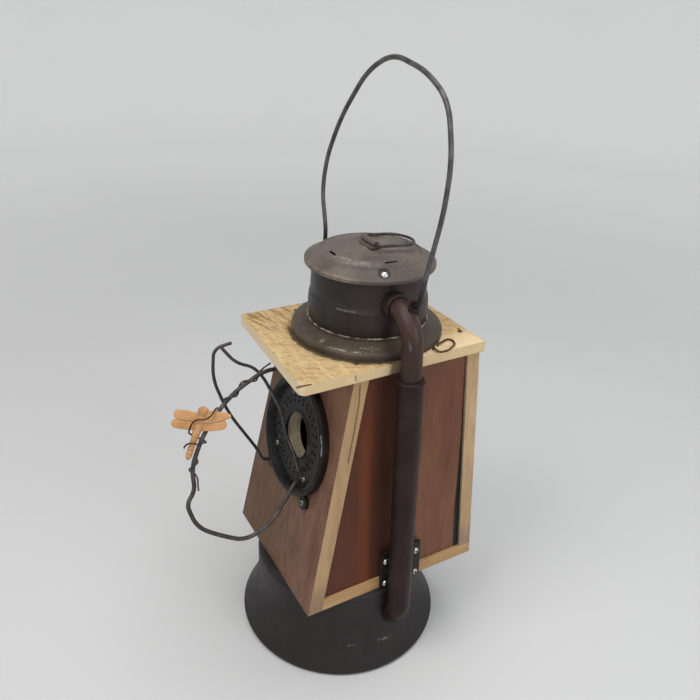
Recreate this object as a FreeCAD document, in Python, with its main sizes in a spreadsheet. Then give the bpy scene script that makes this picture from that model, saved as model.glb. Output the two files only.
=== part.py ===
import FreeCAD, Part
import math
import os
import Sketcher

# Birdhouse lantern: an old tubular lantern whose globe gave way to a small slant-fronted wooden house.
# Millimetres; the origin is the middle of the foot on the floor, -Y is the front, +Z is up.

V = FreeCAD.Vector
X_AXIS, Y_AXIS, Z_AXIS = V(1, 0, 0), V(0, 1, 0), V(0, 0, 1)

SIZES = {
    # foot and font, turned from sheet
    "base_radius": 82.5,
    "base_edge": 4.0,
    "base_roll": 2.0,
    "skirt_height": 45.0,
    "skirt_curve": 110.0,
    "font_radius": 69.0,
    "font_height": 70.5,
    "font_round": 5.0,
    "tin_wall": 0.9,
    "bottom_plate": 1.2,
    "seam_gap": 0.2,
    # wooden house, a truncated pyramid with a leaning front
    "house_height": 186.3,
    "house_top_half": 53.9,
    "house_bottom_half": 64.2,
    "front_head_reach": 26.4,
    "front_foot_reach": 62.7,
    "back_head_reach": 76.9,
    "back_foot_reach": 86.8,
    "front_board": 11.6,
    "back_board": 10.6,
    "floor_board": 9.7,
    "side_panel": 6.0,
    "panel_recess": 2.0,
    "roof_thickness": 7.8,
    "roof_overhang": 2.7,
    "roof_front_left": 60.8,
    "roof_front_right": 66.8,
    "roof_back": 78.4,
    "roof_corner": 5.0,
    "nail_radius": 0.9,
    "nail_length": 20.0,
    "nail_head_radius": 1.7,
    "nail_head": 0.5,
    "nail_front_half": 46.0,
    "nail_back_half": 36.0,
    "drill_gap": 0.08,
    # crown, flange and lid, all on one axis set back from the foot
    "crown_setback": 14.0,
    "crown_radius": 42.3,
    "crown_bulge": 60.0,
    "crown_neck_radius": 41.0,
    "crown_neck_rise": 30.0,
    "flange_radius": 54.5,
    "flange_edge": 3.0,
    "flange_rise": 8.8,
    "flange_collar": 11.5,
    "lid_radius": 45.9,
    "lid_rise": 51.0,
    "lid_lip": 2.2,
    "lid_band_width": 9.9,
    "lid_band_rise": 5.4,
    "lid_top_radius": 13.0,
    "lid_top_rise": 6.6,
    "lid_bead": 1.3,
    "lid_slot_length": 9.0,
    "lid_slot_width": 1.8,
    "lid_screw_inset": 5.5,
    # air tubes and elbows
    "tube_setback": 9.1,
    "tube_step": 1.9,
    "tube_foot_radius": 8.6,
    "tube_wall": 0.7,
    "tube_foot_height": 52.0,
    "tube_foot_bend": 20.0,
    "tube_drop": 0.4,
    "tube_bead": 1.6,
    "tube_bead_reach": 0.9,
    "tube_roof_gap": 2.4,
    "elbow_radius": 7.2,
    "elbow_rise": 34.4,
    "elbow_bend": 21.0,
    "elbow_lap": 10.0,
    "elbow_gap": 0.1,
    "collar_width": 2.3,
    "collar_reach": 4.0,
    # bail, its ears, lift ring and knuckle
    "bail_wire": 1.6,
    "bail_setback": 12.0,
    "bail_lean": 4.0,
    "bail_rise": 41.0,
    "bail_foot_gap": 5.4,
    "bail_height": 141.3,
    "bail_bulge": 11.6,
    "bail_end": 6.0,
    "ear_inset": 6.3,
    "ear_thickness": 1.6,
    "ear_radius": 3.6,
    "pin_gap": 0.2,
    "ring_wire": 1.0,
    "ring_half_width": 12.8,
    "ring_length": 33.5,
    "ring_corner": 3.5,
    "ring_droop": 5.0,
    "ring_offset": 5.0,
    "ring_side": 6.5,
    "knuckle_length": 17.0,
    "knuckle_wall": 0.9,
    "knuckle_tab": 8.0,
    # entrance hole and plate
    "entrance_radius": 18.5,
    "plate_drop": 72.0,
    "plate_radius": 45.5,
    "plate_hole_radius": 17.2,
    "plate_thickness": 1.4,
    "plate_rim_width": 6.0,
    "plate_rim_height": 9.6,
    "plate_rim_curve": 3.6,
    "plate_lip_height": 2.0,
    "plate_lip_width": 1.4,
    "perforation_radius": 1.1,
    "perforation_inner": 25.5,
    "perforation_middle": 29.2,
    "perforation_outer": 37.2,
    "plate_screw_circle": 33.4,
    "lug_radius": 5.5,
    "lug_height": 3.0,
    "lug_angle": 55.0,
    # guard wires, perch wire, their bindings and the tie wire
    "guard_wire": 1.2,
    "perch_wire": 1.5,
    "binding_wire": 0.6,
    "binding_gap": 0.25,
    "upper_binding_end": 43.9,
    "upper_binding_pitch": 16.8,
    "lower_binding_end": 131.8,
    "lower_binding_pitch": 12.4,
    "tie_wire": 0.75,
    "tie_loop": 20.0,
    "wire_grid": 1.0,
    # dragonfly
    "dragonfly_azimuth": 59.0,
    "dragonfly_tilt": 37.0,
    "dragonfly_roll": -14.0,
    "wing_length": 18.4,
    "wing_width": 6.8,
    "wing_thickness": 2.0,
    "body_length": 36.0,
    "body_width": 6.0,
    "dragonfly_tie_radius": 6.2,
    # brackets and screws
    "bracket_width": 36.0,
    "bracket_height": 33.0,
    "bracket_thickness": 2.0,
    "bracket_setback": 16.7,
    "bracket_rise": 0.4,
    "bracket_screw_half": 13.5,
    "bracket_screw_low": 4.0,
    "bracket_screw_high": 25.0,
    "cradle_width": 5.2,
    "cradle_gap": 0.4,
    "screw_head_radius": 2.8,
    "screw_head": 2.0,
    "screw_radius": 1.4,
    "screw_length": 9.0,
}

PLACES = {
    "roof_under": "=dim.font_height + dim.house_height",
    "roof_top": "=roof_under + dim.roof_thickness",
    "floor_top": "=dim.font_height + dim.floor_board",
    "side_slope": "=(dim.house_bottom_half - dim.house_top_half) / dim.house_height",
    "side_lean": "=atan(side_slope)",
    "front_slope": "=(dim.front_foot_reach - dim.front_head_reach) / dim.house_height",
    "front_lean": "=atan(front_slope)",
    "back_slope": "=(dim.back_foot_reach - dim.back_head_reach) / dim.house_height",
    "floor_top_half": "=dim.house_bottom_half - dim.floor_board * side_slope",
    "floor_top_front": "=dim.front_foot_reach - dim.front_board - dim.floor_board * front_slope",
    "floor_top_back": "=dim.back_foot_reach - dim.floor_board * back_slope",
    "plate_y": "=-dim.front_head_reach - dim.plate_drop * sin(front_lean)",
    "plate_z": "=roof_under - dim.plate_drop * cos(front_lean)",
    "plate_turn": "=90 deg - front_lean",
    "roof_half": "=dim.house_top_half + dim.roof_overhang",
    "tube_roof_x": "=roof_half + dim.tube_roof_gap + dim.elbow_radius",
    "tube_offset": "=(tube_roof_x - dim.house_top_half + dim.roof_thickness * side_slope) * cos(side_lean)",
    "elbow_z": "=roof_top + dim.elbow_rise",
    "elbow_x": "=tube_roof_x - dim.elbow_rise * side_slope",
    "ear_half": "=elbow_x - dim.ear_inset",
    "bail_foot_half": "=ear_half + dim.bail_foot_gap",
    "bail_half_width": "=bail_foot_half + dim.bail_bulge",
    "tube_top_z": "=roof_under - dim.tube_drop",
    "tube_top_radius": "=dim.elbow_radius + dim.tube_step",
    "lid_rim_z": "=roof_top + dim.lid_rise",
    "lid_bead_radius": "=dim.lid_radius - dim.lid_band_width",
    "lid_bead_z": "=lid_rim_z + dim.lid_lip + dim.lid_band_rise",
    "lid_top_z": "=lid_bead_z + dim.lid_top_rise",
    "lid_band_slope": "=dim.lid_band_rise / dim.lid_band_width",
    "crown_top": "=lid_bead_z - (dim.crown_neck_radius - lid_bead_radius) * lid_band_slope"
                 " - dim.tin_wall * 1.3 - dim.seam_gap",
    "crown_neck_z": "=roof_top + dim.crown_neck_rise",
    "bail_pivot_z": "=roof_top + dim.bail_rise",
    "ring_axis_y": "=dim.crown_setback - dim.ring_offset",
    "knuckle_bore": "=dim.ring_wire + dim.pin_gap",
    "knuckle_radius": "=knuckle_bore + dim.knuckle_wall",
    "ring_axis_z": "=lid_top_z + dim.knuckle_wall + knuckle_radius - 0.2 * dim.knuckle_wall",
    "bracket_foot_half": "=dim.house_bottom_half - dim.bracket_rise * side_slope",
    "bracket_foot_z": "=dim.font_height + dim.bracket_rise",
    "nail_front_y": "=-dim.front_head_reach + dim.front_board / 2",
    "nail_back_y": "=dim.back_head_reach - dim.back_board / 2",
    "lug_circle": "=dim.plate_radius + 0.75 * dim.lug_radius",
}

doc = FreeCAD.newDocument("birdhouse_lantern")


def fill_sheet(name, rows):
    """A spreadsheet with a name and an aliased value in each row."""
    sheet = doc.addObject("Spreadsheet::Sheet", name)
    for row, (alias, content) in enumerate(rows.items(), start=1):
        sheet.set(f"A{row}", alias)
        sheet.set(f"B{row}", str(content))
        sheet.setAlias(f"B{row}", alias)
    return sheet


dim = fill_sheet("dim", SIZES)
doc.recompute()
fit = fill_sheet("fit", PLACES)
doc.recompute()
pieces = []


def number(expression):
    """The value of an expression on the two sheets, as a plain number."""
    result = dim.evalExpression(str(expression))
    return result.Value if hasattr(result, "Value") else float(result)


def bind(obj, **expressions):
    """Ties properties of an object to the sheets."""
    for name, expression in expressions.items():
        obj.setExpression(name, str(expression))
    return obj


def stand(obj, x="0", y="0", z="0", axis="0; 0; 1", turn="0 deg"):
    """Ties an object's place to the sheets: a point and a turn about an axis."""
    place = f"placement(vector({x}; {y}; {z}); rotation(vector({axis}); {turn}))"
    obj.setExpression("Placement", place)
    return obj


def piece(obj, label):
    """Marks an object as one real piece; its label names its file."""
    obj.Label = label
    pieces.append(obj)
    return obj


def primitive(kind, name, **expressions):
    return bind(doc.addObject(f"Part::{kind}", name), **expressions)


def cut(name, base, tool):
    result = doc.addObject("Part::Cut", name)
    result.Base = base
    result.Tool = tool
    return result


def fuse(name, shapes):
    result = doc.addObject("Part::MultiFuse", name)
    result.Shapes = shapes
    return result


def group(name, links):
    result = doc.addObject("Part::Compound", name)
    result.Links = links
    return result


def mirrored(source, label):
    """The left-hand twin of a right-hand piece."""
    twin = doc.addObject("Part::Mirroring", label)
    twin.Source = source
    twin.Normal = X_AXIS
    return piece(twin, label)


# Sketched bodies


def plane_of(body, role):
    return [feature for feature in body.Origin.OriginFeatures if feature.Role == role][0]


def new_sketch(body, role, name):
    sketch = body.newObject("Sketcher::SketchObject", name)
    sketch.AttachmentSupport = [(plane_of(body, role), "")]
    sketch.MapMode = "FlatFace"
    return sketch


def arc_middle(start, end, radius, side):
    """The middle of an arc; side 1 bulges to the left of the way from start to end, -1 to the right."""
    chord = end - start
    half = chord.Length / 2
    sagitta = radius - math.sqrt(radius ** 2 - half ** 2)
    left = V(-chord.y, chord.x, 0).normalize()
    return (start + end) * 0.5 + left * (side * sagitta)


def hold_point(sketch, geometry, end, corner):
    """Holds a point at two sheet expressions, measured from the sketch's origin."""
    for kind, axis, expression in (("DistanceX", -2, corner[0]), ("DistanceY", -1, corner[1])):
        if expression == "0":
            sketch.addConstraint(Sketcher.Constraint("PointOnObject", geometry, end, axis))
            continue
        index = sketch.addConstraint(Sketcher.Constraint(kind, -1, 1, geometry, end, number(expression)))
        sketch.setExpression(f"Constraints[{index}]", expression)


def draw_outline(sketch, corners, arcs):
    """A closed outline: corners are pairs of expressions, arcs give a radius and a side by edge number."""
    points = [V(number(x), number(y), 0) for x, y in corners]
    ends = []
    for index, start in enumerate(points):
        end = points[(index + 1) % len(points)]
        if index not in arcs:
            ends.append((sketch.addGeometry(Part.LineSegment(start, end)), 1, 2))
            continue
        radius, side = arcs[index]
        middle = arc_middle(start, end, number(radius), side)
        first, last = (end, start) if side > 0 else (start, end)
        edge = sketch.addGeometry(Part.Arc(first, middle, last))
        ends.append((edge, 2, 1) if side > 0 else (edge, 1, 2))
    for index, (edge, start, _) in enumerate(ends):
        before, _, finish = ends[index - 1]
        sketch.addConstraint(Sketcher.Constraint("Coincident", before, finish, edge, start))
        hold_point(sketch, edge, start, corners[index])
    for index, (radius, _) in arcs.items():
        held = sketch.addConstraint(Sketcher.Constraint("Radius", ends[index][0], number(radius)))
        sketch.setExpression(f"Constraints[{held}]", radius)


def turned(name, corners, arcs=None):
    """A body turned about its own upright axis from an outline of radius and height."""
    body = doc.addObject("PartDesign::Body", name)
    sketch = new_sketch(body, "XZ_Plane", f"{name}_outline")
    draw_outline(sketch, corners, arcs or {})
    turn = body.newObject("PartDesign::Revolution", f"{name}_turn")
    turn.Profile = sketch
    turn.ReferenceAxis = (sketch, ["V_Axis"])
    turn.Angle = 360
    doc.recompute()
    return body


# Bent wire and tube


def bent_path(points, bend=None):
    """Straight runs joined by tangent arcs, each of the given radius or as large as its runs allow."""
    edges = []
    last = points[0]
    for before, corner, after in zip(points, points[1:], points[2:]):
        inward = (corner - before).normalize()
        onward = (after - corner).normalize()
        half_turn = inward.getAngle(onward) / 2
        runs = min((corner - before).Length, (after - corner).Length)
        reach = bend * math.tan(half_turn) if bend else 0.45 * runs
        radius = reach / math.tan(half_turn)
        start = corner - inward * reach
        end = corner + onward * reach
        bisector = (onward - inward).normalize()
        middle = corner + bisector * (radius / math.cos(half_turn) - radius)
        if (start - last).Length > 1e-6:
            edges.append(Part.LineSegment(last, start).toShape())
        edges.append(Part.Arc(start, middle, end).toShape())
        last = end
    edges.append(Part.LineSegment(last, points[-1]).toShape())
    return Part.Wire(edges)


def swept(name, path, *radii):
    """A round bar along a path; a second radius tapers it to the far end."""
    spine = doc.addObject("Part::Feature", f"{name}_path")
    spine.Shape = path
    edges = path.OrderedEdges
    ends = ((edges[0], edges[0].FirstParameter), (edges[-1], edges[-1].LastParameter))
    sections = []
    for index, radius in enumerate(radii):
        edge, at = ends[index]
        section = primitive("Circle", f"{name}_section_{index + 1}", Radius=radius)
        section.Placement = FreeCAD.Placement(edge.valueAt(at), FreeCAD.Rotation(Z_AXIS, edge.tangentAt(at)))
        sections.append(section)
    bar = doc.addObject("Part::Sweep", name)
    bar.Sections = sections
    bar.Spine = (spine, [f"Edge{index + 1}" for index in range(len(path.Edges))])
    bar.Solid = True
    bar.Frenet = False
    doc.recompute()
    if len(radii) == 1:
        expected = math.pi * number(radii[0]) ** 2 * path.Length
        print(f"{name}: volume over section times length {bar.Shape.Volume / expected:.4f}")
    return bar


def arc_from(start, tangent_point, end):
    """The arc from start to end that is tangent to the two legs meeting at tangent_point."""
    middle = (start + end) * 0.5
    half = (end - start).Length / 2
    rise = tangent_point - middle
    quarter = math.atan2(rise.Length, half) / 2
    return Part.Arc(start, middle + rise.normalize() * (half * math.tan(quarter)), end).toShape()


def biarc(start, start_way, end, end_way):
    """Two tangent arcs from one point and direction to another."""
    span = end - start
    ways = start_way + end_way
    square = 4 - ways.dot(ways)
    linear = 2 * span.dot(ways)
    reach = (-linear + math.sqrt(linear ** 2 + 4 * square * span.dot(span))) / (2 * square)
    near = start + start_way * reach
    far = end - end_way * reach
    joint = (near + far) * 0.5
    return [arc_from(start, near, joint), arc_from(joint, far, end)]


def winding(name, axis_at, radius, stations, wire, tail=None):
    """Wire wound through pairs of turns and height; axis_at gives the axis's frame at a height."""
    def at(turns, height):
        angle = 2 * math.pi * turns
        return axis_at(height).multVec(V(radius * math.cos(angle), radius * math.sin(angle), 0))

    def way(turns, height, climb):
        angle = 2 * math.pi * turns
        around = 2 * math.pi * radius
        vector = V(-around * math.sin(angle), around * math.cos(angle), climb)
        return axis_at(height).Rotation.multVec(vector).normalize()

    climbs = [(b[1] - a[1]) / (b[0] - a[0]) for a, b in zip(stations, stations[1:])]
    ways = [climbs[0]] + [(a + b) / 2 for a, b in zip(climbs, climbs[1:])] + [climbs[-1]]
    edges = []
    for (start, end), (first, last) in zip(zip(stations, stations[1:]), zip(ways, ways[1:])):
        edges += biarc(at(*start), way(*start, first), at(*end), way(*end, last))
    if tail:
        leave = at(*stations[-1])
        edges += biarc(leave, way(*stations[-1], climbs[-1]), tail, (tail - leave).normalize())
    path = Part.Wire(edges)
    points = path.discretize(Distance=number(wire) / 2)
    turn_length = 2 * math.pi * radius
    step = path.Length / (len(points) - 1)
    apart = int(0.6 * turn_length / step)
    gaps = [(p - q).Length for i, p in enumerate(points) for q in points[i + apart:]]
    if gaps:
        print(f"{name}: least gap to itself {min(gaps) - 2 * number(wire):.2f} mm")
    return swept(name, path, wire)


# Foot and font


def build_font():
    shell = turned("font", [
        ("0", "dim.font_height"),
        ("dim.font_radius - dim.font_round", "dim.font_height"),
        ("dim.font_radius", "dim.font_height - dim.font_round"),
        ("dim.font_radius", "dim.skirt_height"),
        ("dim.base_radius", "dim.base_edge"),
        ("dim.base_radius - dim.base_roll", "0"),
        ("dim.base_radius - dim.base_roll - dim.tin_wall", "0"),
        ("dim.base_radius - dim.tin_wall", "dim.base_edge"),
        ("dim.font_radius - dim.tin_wall", "dim.skirt_height"),
        ("dim.font_radius - dim.tin_wall", "dim.font_height - dim.font_round"),
        ("dim.font_radius - dim.font_round", "dim.font_height - dim.tin_wall"),
        ("0", "dim.font_height - dim.tin_wall"),
    ], {
        1: ("dim.font_round", 1),
        3: ("dim.skirt_curve", -1),
        4: ("dim.base_edge + dim.tin_wall", 1),
        6: ("dim.base_edge", -1),
        7: ("dim.skirt_curve", 1),
        9: ("dim.font_round - dim.tin_wall", -1),
    })
    piece(shell, "font_shell")
    bottom = primitive("Cylinder", "bottom", Height="dim.bottom_plate",
                       Radius="dim.base_radius - dim.base_roll - dim.tin_wall - dim.drill_gap")
    piece(bottom, "font_bottom")


def font_form():
    """The font and its skirt as one full form, grown by the seam's gap, for trimming what meets them."""
    return turned("font_form", [
        ("0", "dim.font_height"),
        ("dim.font_radius + dim.seam_gap", "dim.font_height"),
        ("dim.font_radius + dim.seam_gap", "dim.skirt_height"),
        ("dim.base_radius + dim.seam_gap", "dim.base_edge"),
        ("dim.base_radius + dim.seam_gap", "0"),
        ("0", "0"),
    ], {2: ("dim.skirt_curve", -1)})


# Wooden house


def wedge(name, low, high, foot, head):
    """A board between two heights; foot and head are its x and y limits there."""
    board = primitive("Wedge", name, Ymin=low, Ymax=high)
    for prefix, (left, right, front, back) in (("", foot), ("2", head)):
        bind(board, **{f"X{prefix}min": left, f"X{prefix}max": right,
                       f"Z{prefix}min": f"-({back})", f"Z{prefix}max": f"-({front})"})
    stand(board, axis="1; 0; 0", turn="90 deg")
    return board


def upright_pin(name, radius, x, y, top, length):
    pin = primitive("Cylinder", name, Radius=radius, Height=length)
    return stand(pin, x=x, y=y, z=f"{top} - ({length})")


def nail_places():
    for side in (1, -1):
        yield f"{side} * dim.nail_front_half", "fit.nail_front_y"
        yield f"{side} * dim.nail_back_half", "fit.nail_back_y"


def build_nails():
    """Roof nails, and the holes that they leave in the boards."""
    nails, holes = [], []
    for count, (x, y) in enumerate(nail_places()):
        shank = upright_pin(f"nail_shank_{count}", "dim.nail_radius", x, y, "fit.roof_top", "dim.nail_length")
        head = upright_pin(f"nail_head_{count}", "dim.nail_head_radius", x, y,
                           "fit.roof_top + dim.nail_head", "dim.nail_head")
        nails.append(fuse(f"nail_{count}", [shank, head]))
        holes.append(upright_pin(f"nail_hole_{count}", "dim.nail_radius + dim.drill_gap", x, y,
                                 "fit.roof_top", "dim.nail_length + dim.drill_gap"))
    piece(group("nails", nails), "roof_nails")
    return group("nail_holes", holes)


def build_roof(nail_holes):
    body = doc.addObject("PartDesign::Body", "roof_plank")
    sketch = new_sketch(body, "XY_Plane", "roof_outline")
    skew = "(dim.roof_front_right - dim.roof_front_left) * dim.roof_corner / (2 * fit.roof_half)"
    draw_outline(sketch, [
        ("-fit.roof_half", "dim.roof_back"),
        ("-fit.roof_half", "-dim.roof_front_left"),
        ("fit.roof_half - dim.roof_corner", f"-dim.roof_front_right + {skew}"),
        ("fit.roof_half", "-dim.roof_front_right + dim.roof_corner"),
        ("fit.roof_half", "dim.roof_back"),
    ], {2: ("dim.roof_corner", -1)})
    pad = body.newObject("PartDesign::Pad", "roof_pad")
    pad.Profile = sketch
    bind(pad, Length="dim.roof_thickness")
    stand(body, z="fit.roof_under")
    doc.recompute()
    piece(cut("roof_drilled", body, nail_holes), "roof_board")


def build_house(nail_holes, screw_holes):
    front = wedge(
        "front_plank", "dim.font_height", "fit.roof_under",
        ("-dim.house_bottom_half", "dim.house_bottom_half",
         "-dim.front_foot_reach", "-dim.front_foot_reach + dim.front_board"),
        ("-dim.house_top_half", "dim.house_top_half",
         "-dim.front_head_reach", "-dim.front_head_reach + dim.front_board"))
    bore = primitive("Cylinder", "entrance_bore", Radius="dim.entrance_radius", Height="4 * dim.front_board")
    stand(bore, y="fit.plate_y + 2 * dim.front_board * cos(fit.front_lean)",
          z="fit.plate_z - 2 * dim.front_board * sin(fit.front_lean)", axis="1; 0; 0", turn="fit.plate_turn")
    holed = cut("front_holed", front, bore)
    front_holes = group("front_holes", [nail_holes] + build_plate_screws())
    piece(cut("front_drilled", holed, front_holes), "front_board")

    back = wedge(
        "back_plank", "fit.floor_top", "fit.roof_under",
        ("-fit.floor_top_half", "fit.floor_top_half",
         "fit.floor_top_back - dim.back_board", "fit.floor_top_back"),
        ("-dim.house_top_half", "dim.house_top_half",
         "dim.back_head_reach - dim.back_board", "dim.back_head_reach"))
    piece(cut("back_drilled", back, nail_holes), "back_board")

    floor = wedge(
        "floor_plank", "dim.font_height", "fit.floor_top",
        ("-dim.house_bottom_half", "dim.house_bottom_half",
         "-dim.front_foot_reach + dim.front_board", "dim.back_foot_reach"),
        ("-fit.floor_top_half", "fit.floor_top_half", "-fit.floor_top_front", "fit.floor_top_back"))
    piece(cut("floor_drilled", floor, screw_holes), "floor_board")

    panel = wedge(
        "side_plank", "fit.floor_top", "fit.roof_under",
        ("fit.floor_top_half - dim.panel_recess - dim.side_panel", "fit.floor_top_half - dim.panel_recess",
         "-fit.floor_top_front", "fit.floor_top_back - dim.back_board"),
        ("dim.house_top_half - dim.panel_recess - dim.side_panel", "dim.house_top_half - dim.panel_recess",
         "-dim.front_head_reach + dim.front_board", "dim.back_head_reach - dim.back_board"))
    right = piece(cut("side_drilled", panel, screw_holes), "side_panel_right")
    mirrored(right, "side_panel_left")


# Screws


def screw_solid(name, hole=False):
    """A round-headed screw along +Z whose head sits on z = 0, or the hole that its shank needs."""
    gap = "dim.drill_gap" if hole else "0"
    shank = primitive("Cylinder", f"{name}_shank", Radius=f"dim.screw_radius + {gap}",
                      Height=f"dim.screw_length + {gap}")
    stand(shank, z=f"-dim.screw_length - {gap}")
    if hole:
        return shank
    dome = primitive("Ellipsoid", f"{name}_dome", Radius1="dim.screw_head", Radius2="dim.screw_head_radius",
                     Radius3="dim.screw_head_radius", Angle1="0 deg")
    return fuse(name, [shank, dome])


def placed_copy(name, source, place):
    """A copy of a solid, moved to a place."""
    copy = doc.addObject("Part::Feature", name)
    doc.recompute()
    copy.Shape = source.Shape
    copy.Placement = place.multiply(source.Placement)
    return copy


def plate_frame():
    """The entrance plate's frame: x to the right, y up the front board, z out of it."""
    return FreeCAD.Placement(V(0, number("fit.plate_y"), number("fit.plate_z")),
                             FreeCAD.Rotation(X_AXIS, number("fit.plate_turn")))


def on_plate(x, up, out):
    """A point in front of the plate, from its steps on the wires' grid."""
    return plate_frame().multVec(V(x, up, out) * number("dim.wire_grid"))


PLATE_SCREW_ANGLES = (-49, 118, 221)


def plate_screw_places():
    circle = number("dim.plate_screw_circle")
    for angle in PLATE_SCREW_ANGLES:
        turn = math.radians(angle)
        offset = V(circle * math.cos(turn), circle * math.sin(turn), number("dim.plate_thickness"))
        yield plate_frame().multiply(FreeCAD.Placement(offset, FreeCAD.Rotation()))


def lug_place(side):
    """The place of a guard lug beside the plate's rim, lower left (-1) or lower right (1)."""
    turn = math.radians(number("dim.lug_angle"))
    circle = number("fit.lug_circle")
    return V(side * circle * math.cos(turn), -circle * math.sin(turn), 0)


def lug_screw_place():
    top = lug_place(1) + V(0, 0, number("dim.lug_height"))
    return plate_frame().multiply(FreeCAD.Placement(top, FreeCAD.Rotation()))


def build_plate_screws():
    """Holes in the front board for the screws of the plate and of its right lug."""
    hole = screw_solid("plate_hole", hole=True)
    places = list(plate_screw_places()) + [lug_screw_place()]
    return [placed_copy(f"plate_hole_{count}", hole, place) for count, place in enumerate(places)]


# Entrance plate


def perforate(body, name, circle, count):
    """A ring of small round holes through the plate."""
    sketch = new_sketch(body, "XY_Plane", f"{name}_sketch")
    edge = sketch.addGeometry(Part.Circle(V(number(circle), 0, 0), Z_AXIS, number("dim.perforation_radius")))
    hold_point(sketch, edge, 3, (circle, "0"))
    held = sketch.addConstraint(Sketcher.Constraint("Radius", edge, number("dim.perforation_radius")))
    sketch.setExpression(f"Constraints[{held}]", "dim.perforation_radius")
    pocket = body.newObject("PartDesign::Pocket", f"{name}_pocket")
    pocket.Profile = sketch
    pocket.Reversed = True
    bind(pocket, Length="2 * dim.plate_rim_height")
    pattern = body.newObject("PartDesign::PolarPattern", f"{name}_ring")
    pattern.Originals = [pocket]
    pattern.Axis = (sketch, ["N_Axis"])
    pattern.Angle = 360
    pattern.Occurrences = count
    body.Tip = pattern
    doc.recompute()


def build_plate():
    plate = turned("plate", [
        ("dim.plate_hole_radius", "0"),
        ("dim.plate_radius", "0"),
        ("dim.plate_radius", "dim.plate_rim_height / 2"),
        ("dim.plate_radius - dim.plate_rim_width", "dim.plate_rim_height / 2"),
        ("dim.plate_radius - dim.plate_rim_width - dim.plate_thickness", "dim.plate_thickness"),
        ("dim.plate_hole_radius + dim.plate_lip_width", "dim.plate_thickness"),
        ("dim.plate_hole_radius + dim.plate_lip_width", "dim.plate_lip_height"),
        ("dim.plate_hole_radius", "dim.plate_lip_height"),
    ], {2: ("dim.plate_rim_curve", -1)})
    solid = plate.Shape.Volume
    perforate(plate, "inner_holes", "dim.perforation_inner", 24)
    perforate(plate, "middle_holes", "dim.perforation_middle", 28)
    perforate(plate, "outer_holes", "dim.perforation_outer", 36)
    print(f"perforations take {solid - plate.Shape.Volume:.0f} of {solid:.0f} cubic mm from the plate")
    stand(plate, y="fit.plate_y", z="fit.plate_z", axis="1; 0; 0", turn="fit.plate_turn")
    hole = screw_solid("plate_bore", hole=True)
    bores = [placed_copy(f"plate_bore_{count}", hole, place)
             for count, place in enumerate(plate_screw_places())]
    piece(cut("plate_drilled", plate, group("plate_bores", bores)), "entrance_plate")

    screw = screw_solid("plate_screw")
    screws = [placed_copy(f"plate_screw_{count}", screw, place)
              for count, place in enumerate(plate_screw_places())]
    piece(group("plate_screw_group", screws), "plate_screws")
    piece(placed_copy("lug_screw_solid", screw, lug_screw_place()), "lug_screw")

    rim = primitive("Cylinder", "rim_clear", Radius="dim.plate_radius + dim.seam_gap",
                    Height="4 * dim.lug_height")
    stand(rim, y="fit.plate_y", z="fit.plate_z", axis="1; 0; 0", turn="fit.plate_turn")
    for side, label in ((1, "lug_right"), (-1, "lug_left")):
        disc = primitive("Cylinder", f"{label}_disc", Radius="dim.lug_radius", Height="dim.lug_height")
        disc.Placement = plate_frame().multiply(FreeCAD.Placement(lug_place(side), FreeCAD.Rotation()))
        lug = cut(f"{label}_trimmed", disc, rim)
        if side == 1:
            lug = cut(f"{label}_drilled", lug, placed_copy("lug_bore", hole, lug_screw_place()))
        piece(lug, label)


# Crown, flange and lid


def crown_outline(grow):
    """The crown's outer outline from its foot to its top, grown by an expression."""
    return [
        (f"dim.crown_radius + {grow}", "fit.roof_top"),
        (f"dim.crown_radius + {grow}", "fit.roof_top + dim.flange_collar"),
        (f"dim.crown_radius + {grow}", "fit.crown_neck_z - 2 * dim.tin_wall"),
        (f"dim.crown_neck_radius + {grow}", "fit.crown_neck_z + 2 * dim.tin_wall"),
        (f"dim.crown_neck_radius + {grow}", "fit.crown_top"),
    ]


def build_crown():
    inner = [(x, y) for x, y in reversed(crown_outline("-dim.tin_wall"))]
    shell = turned("crown", crown_outline("0") + inner,
                   {1: ("dim.crown_bulge", -1), 7: ("dim.crown_bulge", 1)})
    stand(shell, y="dim.crown_setback")
    piece(cut("crown_drilled", shell, lid_screw_hole()), "crown_shell")

    inner_radius = "dim.crown_radius + dim.seam_gap"
    flange = turned("flange", [
        (inner_radius, "fit.roof_top + dim.flange_collar"),
        (inner_radius, "fit.roof_top + dim.flange_rise - 1.2 * dim.tin_wall"),
        ("dim.flange_radius - dim.flange_edge", "fit.roof_top + 2 * dim.flange_edge - dim.tin_wall"),
        ("dim.flange_radius - dim.tin_wall", "fit.roof_top + dim.flange_edge"),
        ("dim.flange_radius - dim.tin_wall", "fit.roof_top"),
        ("dim.flange_radius", "fit.roof_top"),
        ("dim.flange_radius", "fit.roof_top + dim.flange_edge"),
        ("dim.flange_radius - dim.flange_edge", "fit.roof_top + 2 * dim.flange_edge"),
        (f"{inner_radius} + dim.tin_wall", "fit.roof_top + dim.flange_rise"),
        (f"{inner_radius} + dim.tin_wall", "fit.roof_top + dim.flange_collar"),
    ], {6: ("dim.flange_edge * 1.05", -1)})
    stand(flange, y="dim.crown_setback")
    piece(flange, "crown_flange")


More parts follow.
